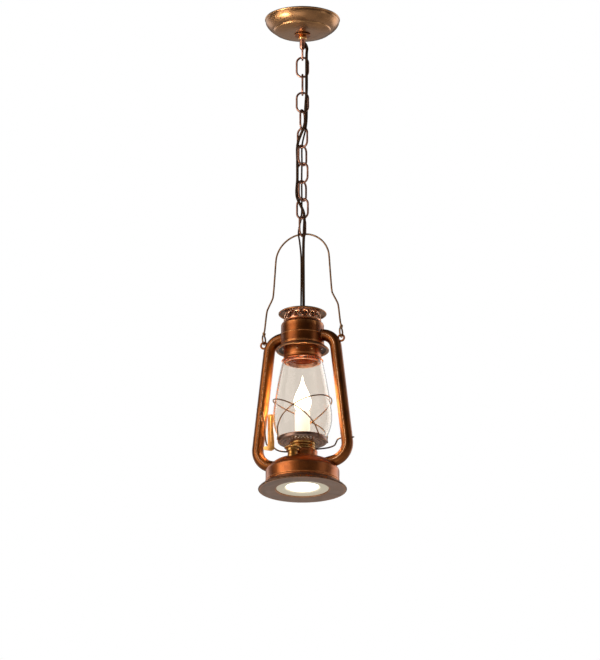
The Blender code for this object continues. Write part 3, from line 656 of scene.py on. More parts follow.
def plate(name, node, outline, place, thickness, material, edge):
    """Plate facing front from an outline in mm, with its edges rounded."""
    curve = bpy.data.curves.new(name, "CURVE")
    curve.dimensions = "2D"
    curve.fill_mode = "BOTH"
    curve.extrude = (thickness / 2 - edge) * MM
    curve.bevel_depth = edge * MM
    curve.bevel_resolution = 2
    curve.offset = -edge * MM
    spline = curve.splines.new("POLY")
    spline.points.add(len(outline) - 1)
    for point, (x, y) in zip(spline.points, outline):
        point.co = (x * MM, y * MM, 0.0, 1.0)
    spline.use_cyclic_u = True
    source = link_object(name + "_outline", curve)
    bpy.context.view_layer.update()
    graph = bpy.context.evaluated_depsgraph_get()
    mesh = bpy.data.meshes.new_from_object(source.evaluated_get(graph))
    bpy.data.objects.remove(source, do_unlink=True)
    mesh.transform(Matrix.Translation(Vector(place) * MM) @ Matrix.Rotation(math.pi / 2, 4, "X"))
    vertices = [tuple(v.co / MM) for v in mesh.vertices]
    faces = [tuple(p.vertices) for p in mesh.polygons]
    bpy.data.meshes.remove(mesh)
    return finish_piece(name, vertices, faces, node, material)


# ---------------------------------------------------------------- cords

CHAIN_HEADING = 18.0
LINK_ANGLES = (0, 90, 2, 68, -35, 48, -28, 52, -20, 60)
LINK_PITCH = 31.9
LINK_WIRE = 3.6
LINK_HALF_WIDTH = 9.8
CROSSING_RISE = 1.7            # how far above the middle of two links' overlap a cord crosses
CORD_SPACING = 2.5
CORD_BEND = 14                 # half a cord's length round a swing joint; the lengths carry the span it gives, but nothing uses it
CORD_LAP = 1.3                 # how far two lengths of a cord reach past their cut
CAP_CUT = -455.0               # cut above the bail
CHAIN_TOP = top_of("chain_link_01")
CAP_TOP = top_of("cord_bushing")

# offsets say how far before or behind the plane of each link a cord crosses it
CORD = {"radius": 2.4, "foot": 1.9,
        "offsets": (-5.2, -7.0, -5.2, -6.6, -5.2, 5.4, -5.4, 5.9, -5.6, -5.4, -5.2),
        "start": [(2.6, -0.4, -42.5), (5.6, -0.4, -46.5), (7.9, -0.6, -53.5), (7.2, -3.0, -62),
                  (7.0, -5.2, -74)],
        "end": [(1.8, -4.2, -405), (1.5, -1.5, -430), (1.7, 0, -470)]}
GROUND = {"radius": 1.5, "foot": -2.5,
          "offsets": (4.3, -6.0, 4.5, -5.4, 4.6, 4.4, 4.4, 4.6, 5.2, 4.6, -4.3),
          "start": [(3.4, 2.7, -46.0), (4.7, 3.4, -48.8), (6.6, 4.1, -54), (6.3, 4.4, -62),
                    (6.0, 4.5, -74)],
          "end": [(-4.6, -2.6, -405), (-2.4, -0.9, -430), (-2.1, 0.9, -470)]}


def beside(right, away, height):
    """Point beside the chain, to the right of it and behind it as its broad links are seen."""
    right_way, away_way = heading(CHAIN_HEADING), heading(CHAIN_HEADING + 90)
    return right_way * right + away_way * away + Vector((0, 0, height))


def cord_route(cord):
    """A cord's route from the ceiling loop, beside each link of the chain, to the cap."""
    angles = [CHAIN_HEADING + angle for angle in LINK_ANGLES] + [0.0]
    route = [beside(*place) for place in cord["start"]]
    for number in range(len(LINK_ANGLES)):
        upper, lower = heading(angles[number] + 90), heading(angles[number + 1] + 90)
        spread = upper.x * lower.y - upper.y * lower.x
        a, b = cord["offsets"][number:number + 2]
        route.append(Vector(((a * lower.y - b * upper.y) / spread,
                             (upper.x * b - lower.x * a) / spread,
                             CHAIN_TOP - (number + 1) * LINK_PITCH + CROSSING_RISE)))
    route += [beside(*place) for place in cord["end"]]
    return route + [beside(cord["foot"], 0, CAP_TOP - 1.5)]


def joint_height(name):
    """Height of a joint at rest, in mm."""
    return next(j["pos_m"][2] for j in frame["joints"] if j["name"] == name) / MM


def make_cord(name, node, cord, look):
    """Cord in four lengths, cut where it is wholly on one body; the middle length rides on the chain, the other
    three stay in place.
    """
    points = smooth_route(cord_route(cord), CORD_SPACING)
    first, second = joint_height("top_link_swing"), joint_height("chain_swing")
    # each cut is just below its joint, past the CORD_BEND span round it
    cuts = [points[0].z, first - 15.0, second - 17.5, CAP_CUT, points[-1].z]
    spans = [("top", "ceiling_mount", "top_link", first + CORD_BEND, first - CORD_BEND),
             ("upper", "top_link", "chain", second + CORD_BEND, second - CORD_BEND),
             ("middle", "chain", None, 0, 0),
             ("lower", "chain", "lantern", CAP_CUT - 3, CAP_TOP + 8)]
    frames = frames_along(points)
    start = 0
    for (part, carrier, other, begin, end), above, below in zip(spans, cuts, cuts[1:]):
        inside = [i for i, p in enumerate(points)
                  if below - CORD_LAP <= p.z <= above + CORD_LAP]
        run = points[start:inside[-1] + 1]
        vertices, faces = swept(run, cord["radius"], 16, side=frames[start][1])
        obj = finish_piece(name + "_" + part, vertices, faces, None, look)
        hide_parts(node)
        if other:
            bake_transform(obj)
        else:
            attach(obj, carrier)
        length = path_length(run)
        count = max(15, min(40, round(length / 8)))
        path = even_points(run, length / count)
        start = inside[-1]


# ---------------------------------------------------------------- ceiling fitting and chain


def make_canopy():
    """Dished canopy with a bead under its lip, and the ring and nut that hold it."""
    outline = [(63.4, 0), (63.9, -0.8), (64.0, -2.0), (63.2, -3.0), (62.2, -3.6), (62.2, -4.3),
               (62.9, -5.2), (62.2, -8.0), (60.2, -11.6), (57.0, -15.4), (53.4, -18.4),
               (51.0, -19.7), (49.6, -20.1), (48.8, -20.9), (48.5, -22.2), (46.6, -23.6),
               (42.2, -25.6), (35.4, -27.5), (27.0, -28.4), (16.0, -28.5), (6.3, -28.5)]
    lathe("canopy_dish", "canopy", sheet(flowing(outline, 3), 0.8), "canopy_copper",
          steps=128)
    ring = soften([(9.5, 0), (13.2, -0.5), (13.8, -1.6), (12.6, -2.5), (5.4, -2.5), (5.4, 0)], 0.5)
    lathe("canopy_check_ring", "check_ring", ring, "drum_copper", steps=64)
    nut = [(5.4, 0), (6.4, -0.15), (6.9, -0.9), (6.9, -1.5), (6.9, -3.9), (6.9, -4.4), (6.2, -5.2),
           (5.4, -5.3)]
    lathe("canopy_collar", "screw_collar", nut, "bright_brass", steps=120,
          knurl=(30, 0.16, -1.4, -4.0))


def make_fixings():
    """What shows from above: threaded nipple, hexagonal lock nut and three cross-head screws."""
    threads = [(3.4, 0), (4.2, 0)]
    for turn in range(36):
        threads += [(4.8, -0.35 - turn * 1.0), (4.25, -0.85 - turn * 1.0)]
    threads += [(4.2, -36.6), (3.4, -36.6)]
    lathe("nipple_thread", "threaded_nipple", threads, "aged_brass", steps=32)
    vertices = []
    base = top_of("nipple_locknut")
    steps = 48
    for turn in circle(steps):
        flat = 7.6 / math.cos((turn + math.pi / 6) % (math.pi / 3) - math.pi / 6)
        for r, z in ((5.9, 0.0), (8.7 * 0.93, 0.0), (8.7, -0.45), (8.7, -2.75), (8.7 * 0.93, -3.2),
                     (5.9, -3.2)):
            r = min(flat, r)
            vertices.append((r * math.cos(turn), r * math.sin(turn), base + z))
    finish_piece("nipple_hex_nut", vertices, ring_faces(steps, 6, True), "nipple_locknut",
                 "zinc_steel", sharp=25)
    make_screw("box_screw_left", "zinc_steel")
    make_screw("box_screw_right", "zinc_steel")
    make_screw("ground_screw", "green_screw")


def make_screw(node, look):
    """Pan head screw seen from both ends: shank above, domed head with a cross below."""
    centre = middle_of(node)
    head = [(0.0, 0.0), (1.55, 0.0), (1.9, -0.3), (1.9, -2.0), (3.6, -2.05), (3.9, -2.4),
            (3.8, -3.3), (3.0, -4.15), (1.5, -4.5), (0.0, -4.6)]
    lathe(node + "_shank", node, head, look, closed=False, steps=40, at=centre.xy)
    vertices, faces = [], []
    for long, wide in ((1.8, 0.38), (0.38, 1.8)):
        faces += [tuple(len(vertices) + i for i in face)
                  for face in [(0, 1, 2, 3), (7, 6, 5, 4)] + ring_faces(2, 4)]
        for z in (-4.64, -4.2):
            vertices += [(centre.x + x * long, centre.y + y * wide, top_of(node) + z)
                         for x, y in ((-1, -1), (1, -1), (1, 1), (-1, 1))]
    finish_piece(node + "_cross", vertices, faces, None, "black_plastic", node)


def make_chain():
    """Ten bent-wire links, each with the butt joint of its wire on one long side."""
    for number, angle in enumerate(LINK_ANGLES):
        node = "chain_link_%02d" % (number + 1)
        low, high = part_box(node)
        across = heading(CHAIN_HEADING + angle)
        middle = (low.z + high.z) / 2 / MM
        straight = (high.z - low.z) / 2 / MM - LINK_WIRE / 2 - LINK_HALF_WIDTH
        loop = []
        for end in (1, -1):
            for step in range(13):
                turn = math.pi * step / 12
                out = end * LINK_HALF_WIDTH * math.cos(turn)
                rise = end * (straight + LINK_HALF_WIDTH * math.sin(turn))
                loop.append(across * out + Vector((0, 0, middle + rise)))
        fine = even_points(loop + [loop[0]], 1.5)[:-1]
        joint = path_length(fine) * (0.47 if number % 2 else 0.97)

        def seam(distance, _, joint=joint):
            return -0.35 * math.exp(-((distance - joint) / 0.8) ** 2)

        wire(node.replace("chain_", "wire_"), node, fine, LINK_WIRE / 2, "chain_copper",
             14, True, side=across.cross(Vector((0, 0, 1))), shape=seam)


def make_bail():
    """Bent wire handle: a round eye at each end, closed by the wire's end wound round its stem."""
    box_low, box_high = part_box("bail")
    radius, arch, eye_radius, coil_radius = 1.5, 47.5, 8.0, 2.2
    lug_x = middle_of("right_lug").x
    eye_bottom = box_low.z / MM + radius
    side = [(49.3, -462), (51.8, -493), (54.0, -501), (60.6, -514.5), (63.4, -523), (66.9, -552)]
    eye_top = eye_bottom + 2 * eye_radius
    half = [Vector((lug_x, 0.6, eye_top + 4.5))]
    half += [Vector((x, 0, z)) for x, z in reversed(side)]
    top = box_high.z / MM - radius
    for degrees in range(0, 91, 15):
        turn = math.radians(degrees)
        half.append(Vector((arch * math.cos(turn), 0, top - arch + arch * math.sin(turn))))
    eye = []
    for degrees in range(130, 431, 20):
        turn = math.radians(degrees)
        eye.append(Vector((lug_x, eye_radius * math.cos(turn),
                           eye_bottom + eye_radius * (1 + math.sin(turn)))))
    wrap = []
    for step in range(22, 0, -1):
        turn = math.radians(130 - 40 * step)
        wrap.append(Vector((lug_x + coil_radius * math.sin(turn),
                            0.8 - coil_radius * math.cos(turn), eye_top + 0.2 + step * 0.22)))
    right = smooth_route(eye + half, 2.2)
    left = [Vector((-p.x, p.y, p.z)) for p in reversed(right[:-1])]
    wire("bail_wire", "bail", right + left, radius, "guard_wire", 14)
    for sign, end in ((1, "right"), (-1, "left")):
        coil = [Vector((sign * p.x, p.y, p.z)) for p in smooth_route(wrap, 0.8)]
        wire("bail_wrap_" + end, None, coil, 0.8, "guard_wire", 10, on="bail")


# ---------------------------------------------------------------- lantern

HINGE_Z = middle_of("left_lug").z
GLOBE_OUTLINE = [(33.8, -615.8), (37.0, -631), (41.2, -652), (45.6, -679), (49.0, -704),
                 (49.2, -721), (45.6, -737), (40.0, -750.0)]
TUBE_PATH = [(34.2, -572.0), (56.3, -572.0), (81.8, -790.0), (30.0, -800.2)]
TUBE_BENDS = (25.0, 30.0)
TUBE_RADIUS = 9.8
TUBE_RELIEF = 0.30             # depth of the seams' grooves and height of the swage rings
GUARD_TURN = 150.0             # degrees a guard wire goes round to each side of its peak
FRONT = Vector((0, -1, 0))
GUARD_RADIUS = 1.1


def make_top():
    """Cap with a rolled edge, cord bushing, vented crown, air chamber, skirt and collar."""
    cap = [(5.4, 0), (12, -0.3), (20, -0.9), (28, -1.9), (34.5, -3.3), (38.4, -4.8), (40.2, -6.0)]
    lathe("cap_disc", "cap", sheet(flowing(cap, 4), 0.8, bead=1.05), "cap_copper")
    ring = soften([(13.0, 0.35), (14.2, 0.35), (15.4, -0.6), (11.8, -0.6)], 0.4)
    lathe("cap_raised_ring", None, ring, "cap_copper", on="cap")
    bushing = [(4.6, 0), (6.6, -0.2), (7.6, -1.0), (7.6, -3.8), (6.2, -4.1), (4.9, -4.5),
               (4.9, -9.1), (4.3, -9.1), (4.3, -0.6)]
    lathe("cap_bushing", "cord_bushing", soften(bushing, 0.3), "aged_brass", steps=64)
    crown = flowing([(28.4, 0), (28.9, -6.6), (30.0, -12.6), (30.4, -16.8)], 3)
    base = top_of("crown")

    def crown_profile(share):
        place = share * (len(crown) - 1)
        index = min(int(place), len(crown) - 2)
        (r1, z1), (r2, z2) = crown[index], crown[index + 1]
        return r1 + (r2 - r1) * (place - index), base + z1 + (z2 - z1) * (place - index)

    pierced("crown_vents", "crown", crown_profile, [(0.03, 0.93, 14, 0.92, 0.80, 0.5)],
            "crown_copper", 0.7, 0.74, lip=1.0)
    # baffle inside the vents; its dark metal also paints the shade inside the crown
    baffle = soften([(25.2, -1.0), (25.2, -17.5), (24.4, -17.5), (24.4, -1.0)], 0.2)
    lathe("crown_baffle", None, baffle, "dull_copper", on="crown")
    lathe("crown_top_bead", None, ring_bead(28.6, -0.7, 0.75), "crown_copper", on="crown")
    lathe("crown_foot_bead", None, ring_bead(30.4, -16.2, 0.9), "antique_copper",
          on="crown")
    chamber = [(29.4, 0), (31.2, -0.5), (33.4, -1.5), (35.2, -3.2), (36.05, -5.4), (36.2, -7.0),
               (36.3, -21.6), (36.6, -22.4), (37.0, -23.0), (37.05, -23.8), (36.6, -24.5),
               (36.3, -25.2), (36.5, -37.6), (36.9, -38.6), (36.95, -39.6), (36.6, -41.2)]
    lathe("air_chamber_drum", "air_chamber", sheet(flowing(chamber, 2), 0.8), "drum_copper",
          steps=128)
    skirt = [(36.8, 0), (37.6, -1.2), (39.6, -2.8), (42.4, -4.6), (44.2, -6.2), (44.8, -7.4),
             (44.2, -8.6), (42.8, -8.8), (41.0, -8.3), (40.0, -7.4)]
    lathe("skirt_flare", "chamber_skirt", sheet(flowing(skirt, 3), 0.7), "cap_copper",
          steps=128)
    # dark copper sheet in the recess under the flare: painted shade
    well = [(40.4, -7.2), (38.6, -6.2), (36.4, -5.4), (33.6, -5.0)]
    lathe("skirt_painted_shade_well", None, sheet(flowing(well, 3), 0.6), "dark_copper",
          on="chamber_skirt")
    collar = [(31.4, 0), (31.4, -15.0), (31.8, -15.8), (31.8, -16.8), (31.4, -17.6), (31.5, -19.6),
              (32.2, -21.0), (33.6, -22.6), (35.2, -23.3)]
    lathe("globe_collar_band", "globe_collar", sheet(flowing(collar, 2), 0.7), "antique_copper",
          steps=112)
    make_collar_details()
    ring = [(27.2, 0), (27.2, -2.0), (26.5, -2.7), (26.4, -3.2), (26.5, -3.7), (27.2, -4.4),
            (27.2, -5.8), (27.7, -6.8), (27.0, -7.2), (26.2, -6.9), (25.9, -6.0), (25.9, 0)]
    lathe("globe_inner_ring", "globe_top_ring", ring, "ring_copper")


def ring_bead(radius, height, size):
    """Outline of a round bead on a turned piece."""
    return [(radius + size * math.cos(math.radians(a)), height + size * math.sin(math.radians(a)))
            for a in range(90, -270, -30)]


def make_collar_details():
    """Domed rivet and pressed dimple on the front of the collar, with a second pair behind."""
    node, radius, sides = "globe_collar", 31.3, 20
    dome = [(1.0, -0.2), (1.0, 0.12), (0.88, 0.5), (0.62, 0.82), (0.3, 0.97), (0.0, 1.0)]
    up = Vector((0, 0, 1))
    height = top_of(node) - 9.0
    faces = ring_faces(len(dome), sides) + [tuple(reversed(range(sides)))]
    for place, half_turn in (("front", 0), ("back", 180)):
        # the rivets' bright brass and the dimples' bright copper are painted highlights
        for kind, angle, size, rise, material in (("rivet", -42.3, 2.0, 1.2, "bright_brass"),
                                                  ("dimple", -88.6, 1.7, 0.8, "painted_highlight_copper")):
            out = heading(angle + half_turn)
            across = up.cross(out)
            vertices = []
            for share, lift in dome:
                for turn in circle(sides):
                    vertices.append(out * (radius + rise * lift)
                                    + up * (height + size * share * math.sin(turn))
                                    + across * size * share * math.cos(turn))
            name = "collar_%s_%s" % (kind, place)
            finish_piece(name, vertices, faces, None, material, node)


def rounded_path(corners, radii):
    """Path of (x, z) corners with each inner corner replaced by an arc of its own radius."""
    path = [Vector(corners[0])]
    for before, corner, after, radius in zip(corners, corners[1:], corners[2:], radii):
        corner = Vector(corner)
        inward = (Vector(before) - corner).normalized()
        outward = (Vector(after) - corner).normalized()
        half = inward.angle(outward) / 2
        centre = corner + (inward + outward).normalized() * radius / math.sin(half)
        start = corner + inward * radius / math.tan(half) - centre
        end = corner + outward * radius / math.tan(half) - centre
        sweep = math.pi - 2 * half
        for share in (step / 14 for step in range(15)):
            path.append(centre + start * (math.sin((1 - share) * sweep) / math.sin(sweep))
                        + end * (math.sin(share * sweep) / math.sin(sweep)))
    path.append(Vector(corners[-1]))
    return path


def make_tubes():
    """Side tubes with a rolled seam front and back, a soldered bead at the chamber, eye straps for
    the bail, and swage rings on the left one."""
    for sign, side, bands in ((-1, "left", (-694.0, -702.5, -744.0)), (1, "right", (-748.0,))):
        node = side + "_tube"
        path = [Vector((sign * p.x, 0.0, p.y)) for p in rounded_path(TUBE_PATH, TUBE_BENDS)]
        path = even_points(path, 2.4)
        reach = distances_along(path)

        def shape(distance, turn, reach=reach, path=path, bands=bands):
            seam = 0.0
            for middle in (0.0, math.pi):
                off = (turn - middle + math.pi) % (2 * math.pi) - math.pi
                seam -= TUBE_RELIEF * math.exp(-(off / 0.16) ** 2)
            here = path[min(range(len(reach)), key=lambda i: abs(reach[i] - distance))].z
            return seam + sum(TUBE_RELIEF * math.exp(-((here - z) / 1.1) ** 2) for z in bands)

        wire(side + "_side_tube", node, path, TUBE_RADIUS, "drawn_copper", 96,
             ends="open", side=FRONT, shape=shape)
        # seam wires: real rolled seams, in a brighter copper that paints the highlight along each one
        for face, out in (("front", -1), ("back", 1)):
            seam = [p + Vector((0, out * (TUBE_RADIUS - 0.25), 0)) for p in path]
            wire("%s_seam_%s" % (node, face), None, seam, 0.55, "painted_highlight_copper", 8, on=node)
        index = min(range(1, len(path) - 1),
                    key=lambda i: abs(abs(path[i].x) - 37.2) + abs(path[i].z + 572) * 0.2)
        second = (path[index + 1] - path[index - 1]).normalized().cross(FRONT)
        ring = [path[index] + (FRONT * math.cos(turn) + second * math.sin(turn))
                * (TUBE_RADIUS + 0.1) for turn in circle(40)]
        wire(node + "_top_bead", None, ring, 0.7, "antique_copper", 8, True, on=node)
        make_lug(side)


def make_lug(side):
    """Eye strap of the bail: a rounded ring on the tube."""
    node = side + "_lug"
    centre = middle_of(node)
    outline = soften([(7.0, 1.3), (7.0, -1.3), (3.7, -1.3), (3.7, 1.3)], 0.9, steps=4)
    steps = 48
    vertices = []
    for turn in circle(steps):
        for r, y in outline:
            vertices.append((centre.x + r * math.cos(turn), y, HINGE_Z + r * math.sin(turn)))
    finish_piece(side + "_eye_strap", vertices, ring_faces(steps, len(outline), True), node,
                 "drum_copper")


def globe_radius(height):
    """Outer radius of the glass at a height."""
    for (r1, z1), (r2, z2) in zip(GLOBE_OUTLINE, GLOBE_OUTLINE[1:]):
        if z2 <= height <= z1:
            return r1 + (r2 - r1) * (height - z1) / (z2 - z1)
    return GLOBE_OUTLINE[-1][0]


def make_globe():
    """Pear-shaped glass, its pierced gallery and seat, and the two crossed guard wires."""
    outline = flowing([(r, z - GLOBE_OUTLINE[0][1]) for r, z in GLOBE_OUTLINE], 6)
    lathe("glass_globe", "globe", soften(sheet(outline, 2.0), 0.7), "clear_glass",
          steps=128, sharp=60)
    base = top_of("gallery")
    rim = [(40.9, 0), (41.6, -1.4), (41.9, -3.0), (41.7, -5.4), (41.1, -6.9), (40.2, -7.5)]
    lathe("gallery_rim", "gallery", sheet(flowing(rim, 4), 0.8), "gallery_plate",
          steps=112)

    def underside(share):
        return 40.4 - 17.4 * share, base - 7.35 - 1.75 * share

    rows = [(0.03, 0.36, 36, 0.60, 0.62, 0.0), (0.36, 0.68, 36, 0.56, 0.60, 0.5),
            (0.70, 0.94, 36, 0.46, 0.5, 0.0)]
    pierced("gallery_plate", None, underside, rows, "gallery_plate", 0.6, 0.78,
            on="gallery")
    lathe("gallery_foot_bead", None, ring_bead(23.4, -8.8, 0.6), "gallery_plate",
          on="gallery")
    # the seat ring's dark copper, seen through the gallery's holes, is painted shade
    seat = soften([(39.6, 0), (39.6, -1.2), (23.0, -1.2), (23.0, 0), (30, 0), (31, 0.7), (33, 0.7),
                   (34, 0)], 0.3)
    lathe("globe_seat_ring", "globe_seat", seat, "dark_copper")
    for name, peak, spread in (("guard_wire_a", 0.0, 0.0), ("guard_wire_b", 180.0, 3.2)):
        arch = top_of(name) - GUARD_RADIUS
        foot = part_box(name)[0].z / MM + GUARD_RADIUS
        points = []
        for step in range(-60, 61):
            turn = GUARD_TURN * step / 60
            height = arch + (foot - arch) * abs(turn / GUARD_TURN) ** 2.26
            radius = max(globe_radius(height) + 2.8, 43.2)
            radius += spread * math.exp(-((abs(turn) - 90) / 16) ** 2)
            points.append(heading(peak + turn) * radius + Vector((0, 0, height)))
        wire(name.replace("guard_wire", "globe_guard"), name, points, GUARD_RADIUS, "guard_wire",
             12)


def make_lift():
    """Lift lever with its crank and hook, and the bracket that guides it."""
    axis = joint_height("lever_turn")
    route = [(90.4, 0, 0), (79.0, 0, 0), (66.0, 0, 0), (61.0, 2.0, -1.2), (56.5, 8.0, -4.2),
             (51.0, 16.0, -6.0), (42.0, 22.5, -6.3), (31.0, 26.0, -6.3), (0.0, 26.2, -6.3),
             (-31.0, 26.0, -6.3), (-42.0, 22.0, -6.3), (-49.0, 14.0, -5.6), (-53.0, 5.5, -2.6),
             (-56.0, 0.8, 0), (-61.5, 0, 0), (-63.5, -2.5, 5), (-63.5, -8.0, 20),
             (-63.6, -12.0, 38), (-64.6, -13.6, 50), (-67.0, -14.2, 54.5), (-69.6, -14.4, 51),
             (-68.4, -14.2, 43), (-66.4, -13.8, 38)]
    route = [(x, y, axis + z) for x, y, z in route]
    wire("lever_wire", "lift_lever", smooth_route(route, 1.8), 1.3, "dark_copper",
         14)
    centre = middle_of("lever_bracket")
    outline = [(-60.4, -705), (-59.4, -704), (-52.2, -704), (-51.1, -705), (-50.9, -718),
               (-50.7, -731), (-49.6, -742), (-48.7, -752), (-48.6, -764.5), (-50.0, -767),
               (-54.0, -768.5), (-61.0, -767), (-67.6, -765), (-67.6, -759.4), (-60.2, -759.4)]
    shift = top_of("lever_bracket") - max(z for _, z in outline)
    outline = [(x, z + shift) for x, z in outline]
    plate("lever_guide", "lever_bracket", outline, (0, centre.y, 0), 1.0, "bright_brass",
          0.22)
    fold = [(x, centre.y - 0.7, z) for x, z in ((-56.0, -707), (-55.7, -722), (-55.0, -738),
                                                (-54.2, -752))]
    wire("lever_guide_rib", None, smooth_route(fold, 2.0), 1.1, "bright_brass", 12,
         on="lever_bracket")


# ---------------------------------------------------------------- lamp, tank and base


def make_lamp():
    """Ridged burner, tank neck, candle sleeve, socket and lit bulb."""
    burner = [(8.0, -5.9), (13.4, -5.9), (13.4, 0), (17.6, 0), (19.9, -1.0), (21.2, -2.5),
              (21.5, -4.2), (21.5, -7.4), (20.9, -8.6), (19.7, -9.6)]
    for top in (-10.2, -14.6):
        burner += [(19.8, top), (20.8, top - 0.5), (21.3, top - 1.3), (21.4, top - 2.1),
                   (20.9, top - 3.0), (19.8, top - 3.7)]
    burner += [(20.4, -18.7), (20.4, -19.0), (8.0, -19.0)]
    lathe("burner_rings", "burner", burner, "aged_brass", steps=160,
          knurl=(80, 0.12, -4.4, -7.2))
    neck = soften([(24.8, 0), (25.3, -1.0), (25.0, -3.4), (24.4, -4.2), (25.0, -5.0), (25.0, -13.3),
                   (17.0, -13.3), (17.0, 0)], 0.5)
    lathe("tank_neck_ring", "tank_neck", neck, "antique_copper")
    sleeve = soften([(12.6, 0), (12.6, -55.0), (11.8, -55.0), (11.8, 0)], 0.35)
    top = top_of("candle_sleeve")
    # the candle sleeve is no lamp: its glow, warmer and dimmer towards its foot, is painted light from the bulb
    # above it
    glowing("lit_card", (0.80, 0.66, 0.44), (1.0, 0.95, 0.84), (top - 55, top), 0.75, 0.5)
    lathe("candle_tube", "candle_sleeve", sleeve, "lit_card", steps=64)
    socket = [(0, -24.5), (7.9, -24.5), (7.9, 0), (9.6, 0), (11.2, -1.2), (11.2, -49.0), (0, -49.0)]
    lathe("lamp_socket", "bulb_socket", socket, "black_plastic", closed=False,
          steps=48)
    base = [(0, 0), (7.0, 0), (7.3, -2.0)]
    for turn in range(7):
        base += [(7.4, -3.2 - 2.6 * turn), (6.7, -4.5 - 2.6 * turn)]
    base += [(6.6, -22.7), (3.0, -26.7), (0, -26.7)]
    lathe("bulb_cap", "bulb_base", base, "aged_brass", closed=False, steps=48)
    bulb = flowing([(0.0, 0), (1.2, -6.0), (3.4, -15.0), (8.0, -26.0), (12.8, -37.0), (14.6, -46.0),
                    (13.6, -54.0), (10.6, -60.5), (7.2, -64.0)], 5) + [(0.0, -64.0)]
    top = top_of("bulb")
    glowing("lit_bulb", (1.0, 0.80, 0.52), (1.0, 0.90, 0.70), (top - 64, top), 7.0)
    glass = lathe("candle_bulb_glass", "bulb", bulb, "lit_bulb", closed=False, steps=48)
    glass.visible_shadow = False
    lamp = bpy.data.lights.new("bulb_light", "POINT")
    lamp.energy = 2.4
    lamp.color = (1.0, 0.72, 0.42)
    lamp.shadow_soft_size = 0.013
    obj = link_object("bulb_light", lamp)
    obj.location = Vector((0.0, 0.0, (top - 40) * MM))
    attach(obj, BODY_OF["bulb"])


def make_tank():
    """Tank with its shoulder and swage, flanged base with a rolled edge, filler and cap."""
    tank = [(7.0, 0.0), (16, -0.02), (25.0, -0.1), (30.0, -0.6), (35.0, -1.7), (40.0, -3.2),
            (45.0, -5.2), (49.0, -7.6), (52.5, -10.4), (56.0, -13.5), (59.2, -16.8), (60.9, -19.0),
            (61.7, -21.2), (61.8, -24.0), (61.8, -37.2), (62.3, -38.0), (62.3, -38.8),
            (61.6, -39.6), (61.7, -41.3)]
    lathe("tank_shell", "tank", sheet(flowing(tank, 2), 0.8), "antique_copper", steps=144)
    base = [(61.6, 0), (60.7, -1.1), (61.8, -2.6), (64.8, -4.2), (68.5, -5.9), (71.4, -7.4),
            (73.0, -8.9)]
    under = [(73.2, -11.9), (66, -11.8), (60.0, -11.7), (52.0, -11.4), (46.0, -11.1), (44.8, -10.2),
             (44.6, -6.5)]
    rolled = [(73.4, -9.5), (74.0, -10.3), (73.9, -11.2), (73.2, -11.9)]
    outer = flowing(base, 3)[:-1] + rolled + flowing(under, 2)[1:]
    lathe("base_flange_shell", "base_flange", sheet(outer, 0.8), "flange_copper",
          steps=144)
    # dark bead round the rolled edge of the flange: painted shade along the rim
    lathe("base_rim_painted_shade", None, ring_bead(73.1, -10.7, 1.25), "dark_copper", steps=144,
          on="base_flange")
    at = middle_of("filler_cap").xy
    neck = [(8.0, 0), (8.0, -9.6), (8.8, -10.6), (9.2, -13.6), (6.6, -13.6), (6.6, 0)]
    lathe("filler_spout", "filler_neck", soften(neck, 0.4), "aged_brass", steps=48, at=at)
    cap = [(0.0, 0.35), (5.0, 0.3), (9.0, 0.0), (12.2, 0.0), (13.4, -0.35), (13.9, -1.0),
           (13.8, -1.7), (13.3, -2.4), (10.8, -3.0), (10.6, -3.4), (10.6, -6.8), (10.2, -7.0),
           (8.6, -7.0), (8.6, -3.2), (0.0, -3.2)]
    lathe("filler_lid_disc", "filler_cap", cap, "aged_brass", closed=False, steps=160,
          at=at, knurl=(40, 0.22, -0.9, -2.0))


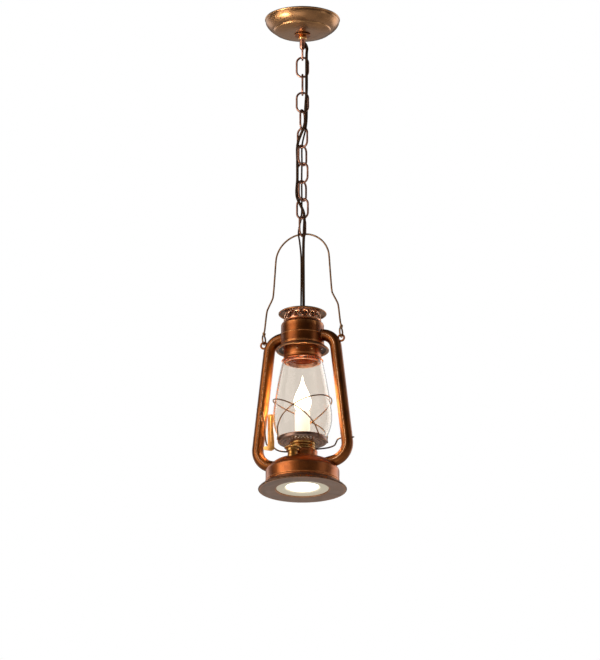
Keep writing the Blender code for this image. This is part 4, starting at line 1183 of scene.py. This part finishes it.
def make_downlight():
    """White trim ring with painted light from the lamp on it, lamp holder and the lit reflector lamp in the base.
    """
    trim = flowing([(44.0, -1.8), (40.0, -1.95), (34.0, -1.8), (30.2, -1.0), (28.0, 0.6),
                    (26.8, 3.4), (26.4, 6.0)], 3)
    inner = [(27.2, 6.0), (29.2, 1.8), (34.0, 0.0), (44.0, 0.0)]
    top = top_of("downlight_trim") - 6.0
    # the trim ring is no lamp: its glow, bright on the lip beside the lamp and dim on the flat outer part, is
    # painted light from the lamp
    glowing("lit_enamel", (0.19, 0.155, 0.10), (1.0, 0.93, 0.8), (top - 1.4, top + 3.0), 0.7, 0.35,
            (0.74, 0.68, 0.54))
    lathe("downlight_ring", "downlight_trim", trim + inner, "lit_enamel", steps=112,
          top=top)
    lathe("downlight_ring_lip", None, ring_bead(43.3, -1.5, 0.7), "lit_enamel",
          steps=112, top=top, on="downlight_trim")
    holder = [(0, 0), (12.0, 0), (12.4, -0.5), (12.4, -10.8), (10.4, -10.8), (9.8, -3.8), (0, -3.8)]
    lathe("downlight_holder", "lamp_holder", holder, "black_plastic", closed=False,
          steps=48)
    lamp_top = top_of("downlight_lamp")
    lamp = [(0.0, 0), (9.0, 0), (9.5, -8.0), (12.6, -13.5), (17.0, -21.0), (21.2, -28.5),
            (24.6, -36.0), (25.6, -41.0), (25.4, -42.8), (24.6, -43.5), (22.0, -43.9)]
    for ring in (19.0, 15.5, 12.0, 8.5, 5.0):
        lamp += [(ring + 1.0, -44.0), (ring, -44.35), (ring - 1.0, -44.0)]
    lamp += [(0.0, -44.4)]
    glowing("lit_lamp", (1.0, 0.94, 0.82), (0.75, 0.66, 0.5), (lamp_top - 44.4, lamp_top - 30), 2.6,
            0.3)
    lathe("downlight_bulb", "downlight_lamp", lamp, "lit_lamp", closed=False, steps=96)


def dress_nodes():
    """Materials of the CAD nodes that are shown as they are."""
    for node, material in (("lamp_cable", "black_plastic"), ("ceiling_loop", "chain_copper"),
                           ("crossbar", "zinc_steel")):
        NODES[node].data.materials.clear()
        NODES[node].data.materials.append(MATERIALS[material])


make_camera()
make_studio()
make_floor()
make_cord("supply_lead", "supply_cord", CORD, "brown_cord")
make_cord("ground_lead", "ground_wire", GROUND, "brown_sleeve")
make_canopy()
make_fixings()
make_chain()
make_bail()
make_top()
make_tubes()
make_globe()
make_lift()
make_lamp()
make_tank()
make_downlight()
dress_nodes()
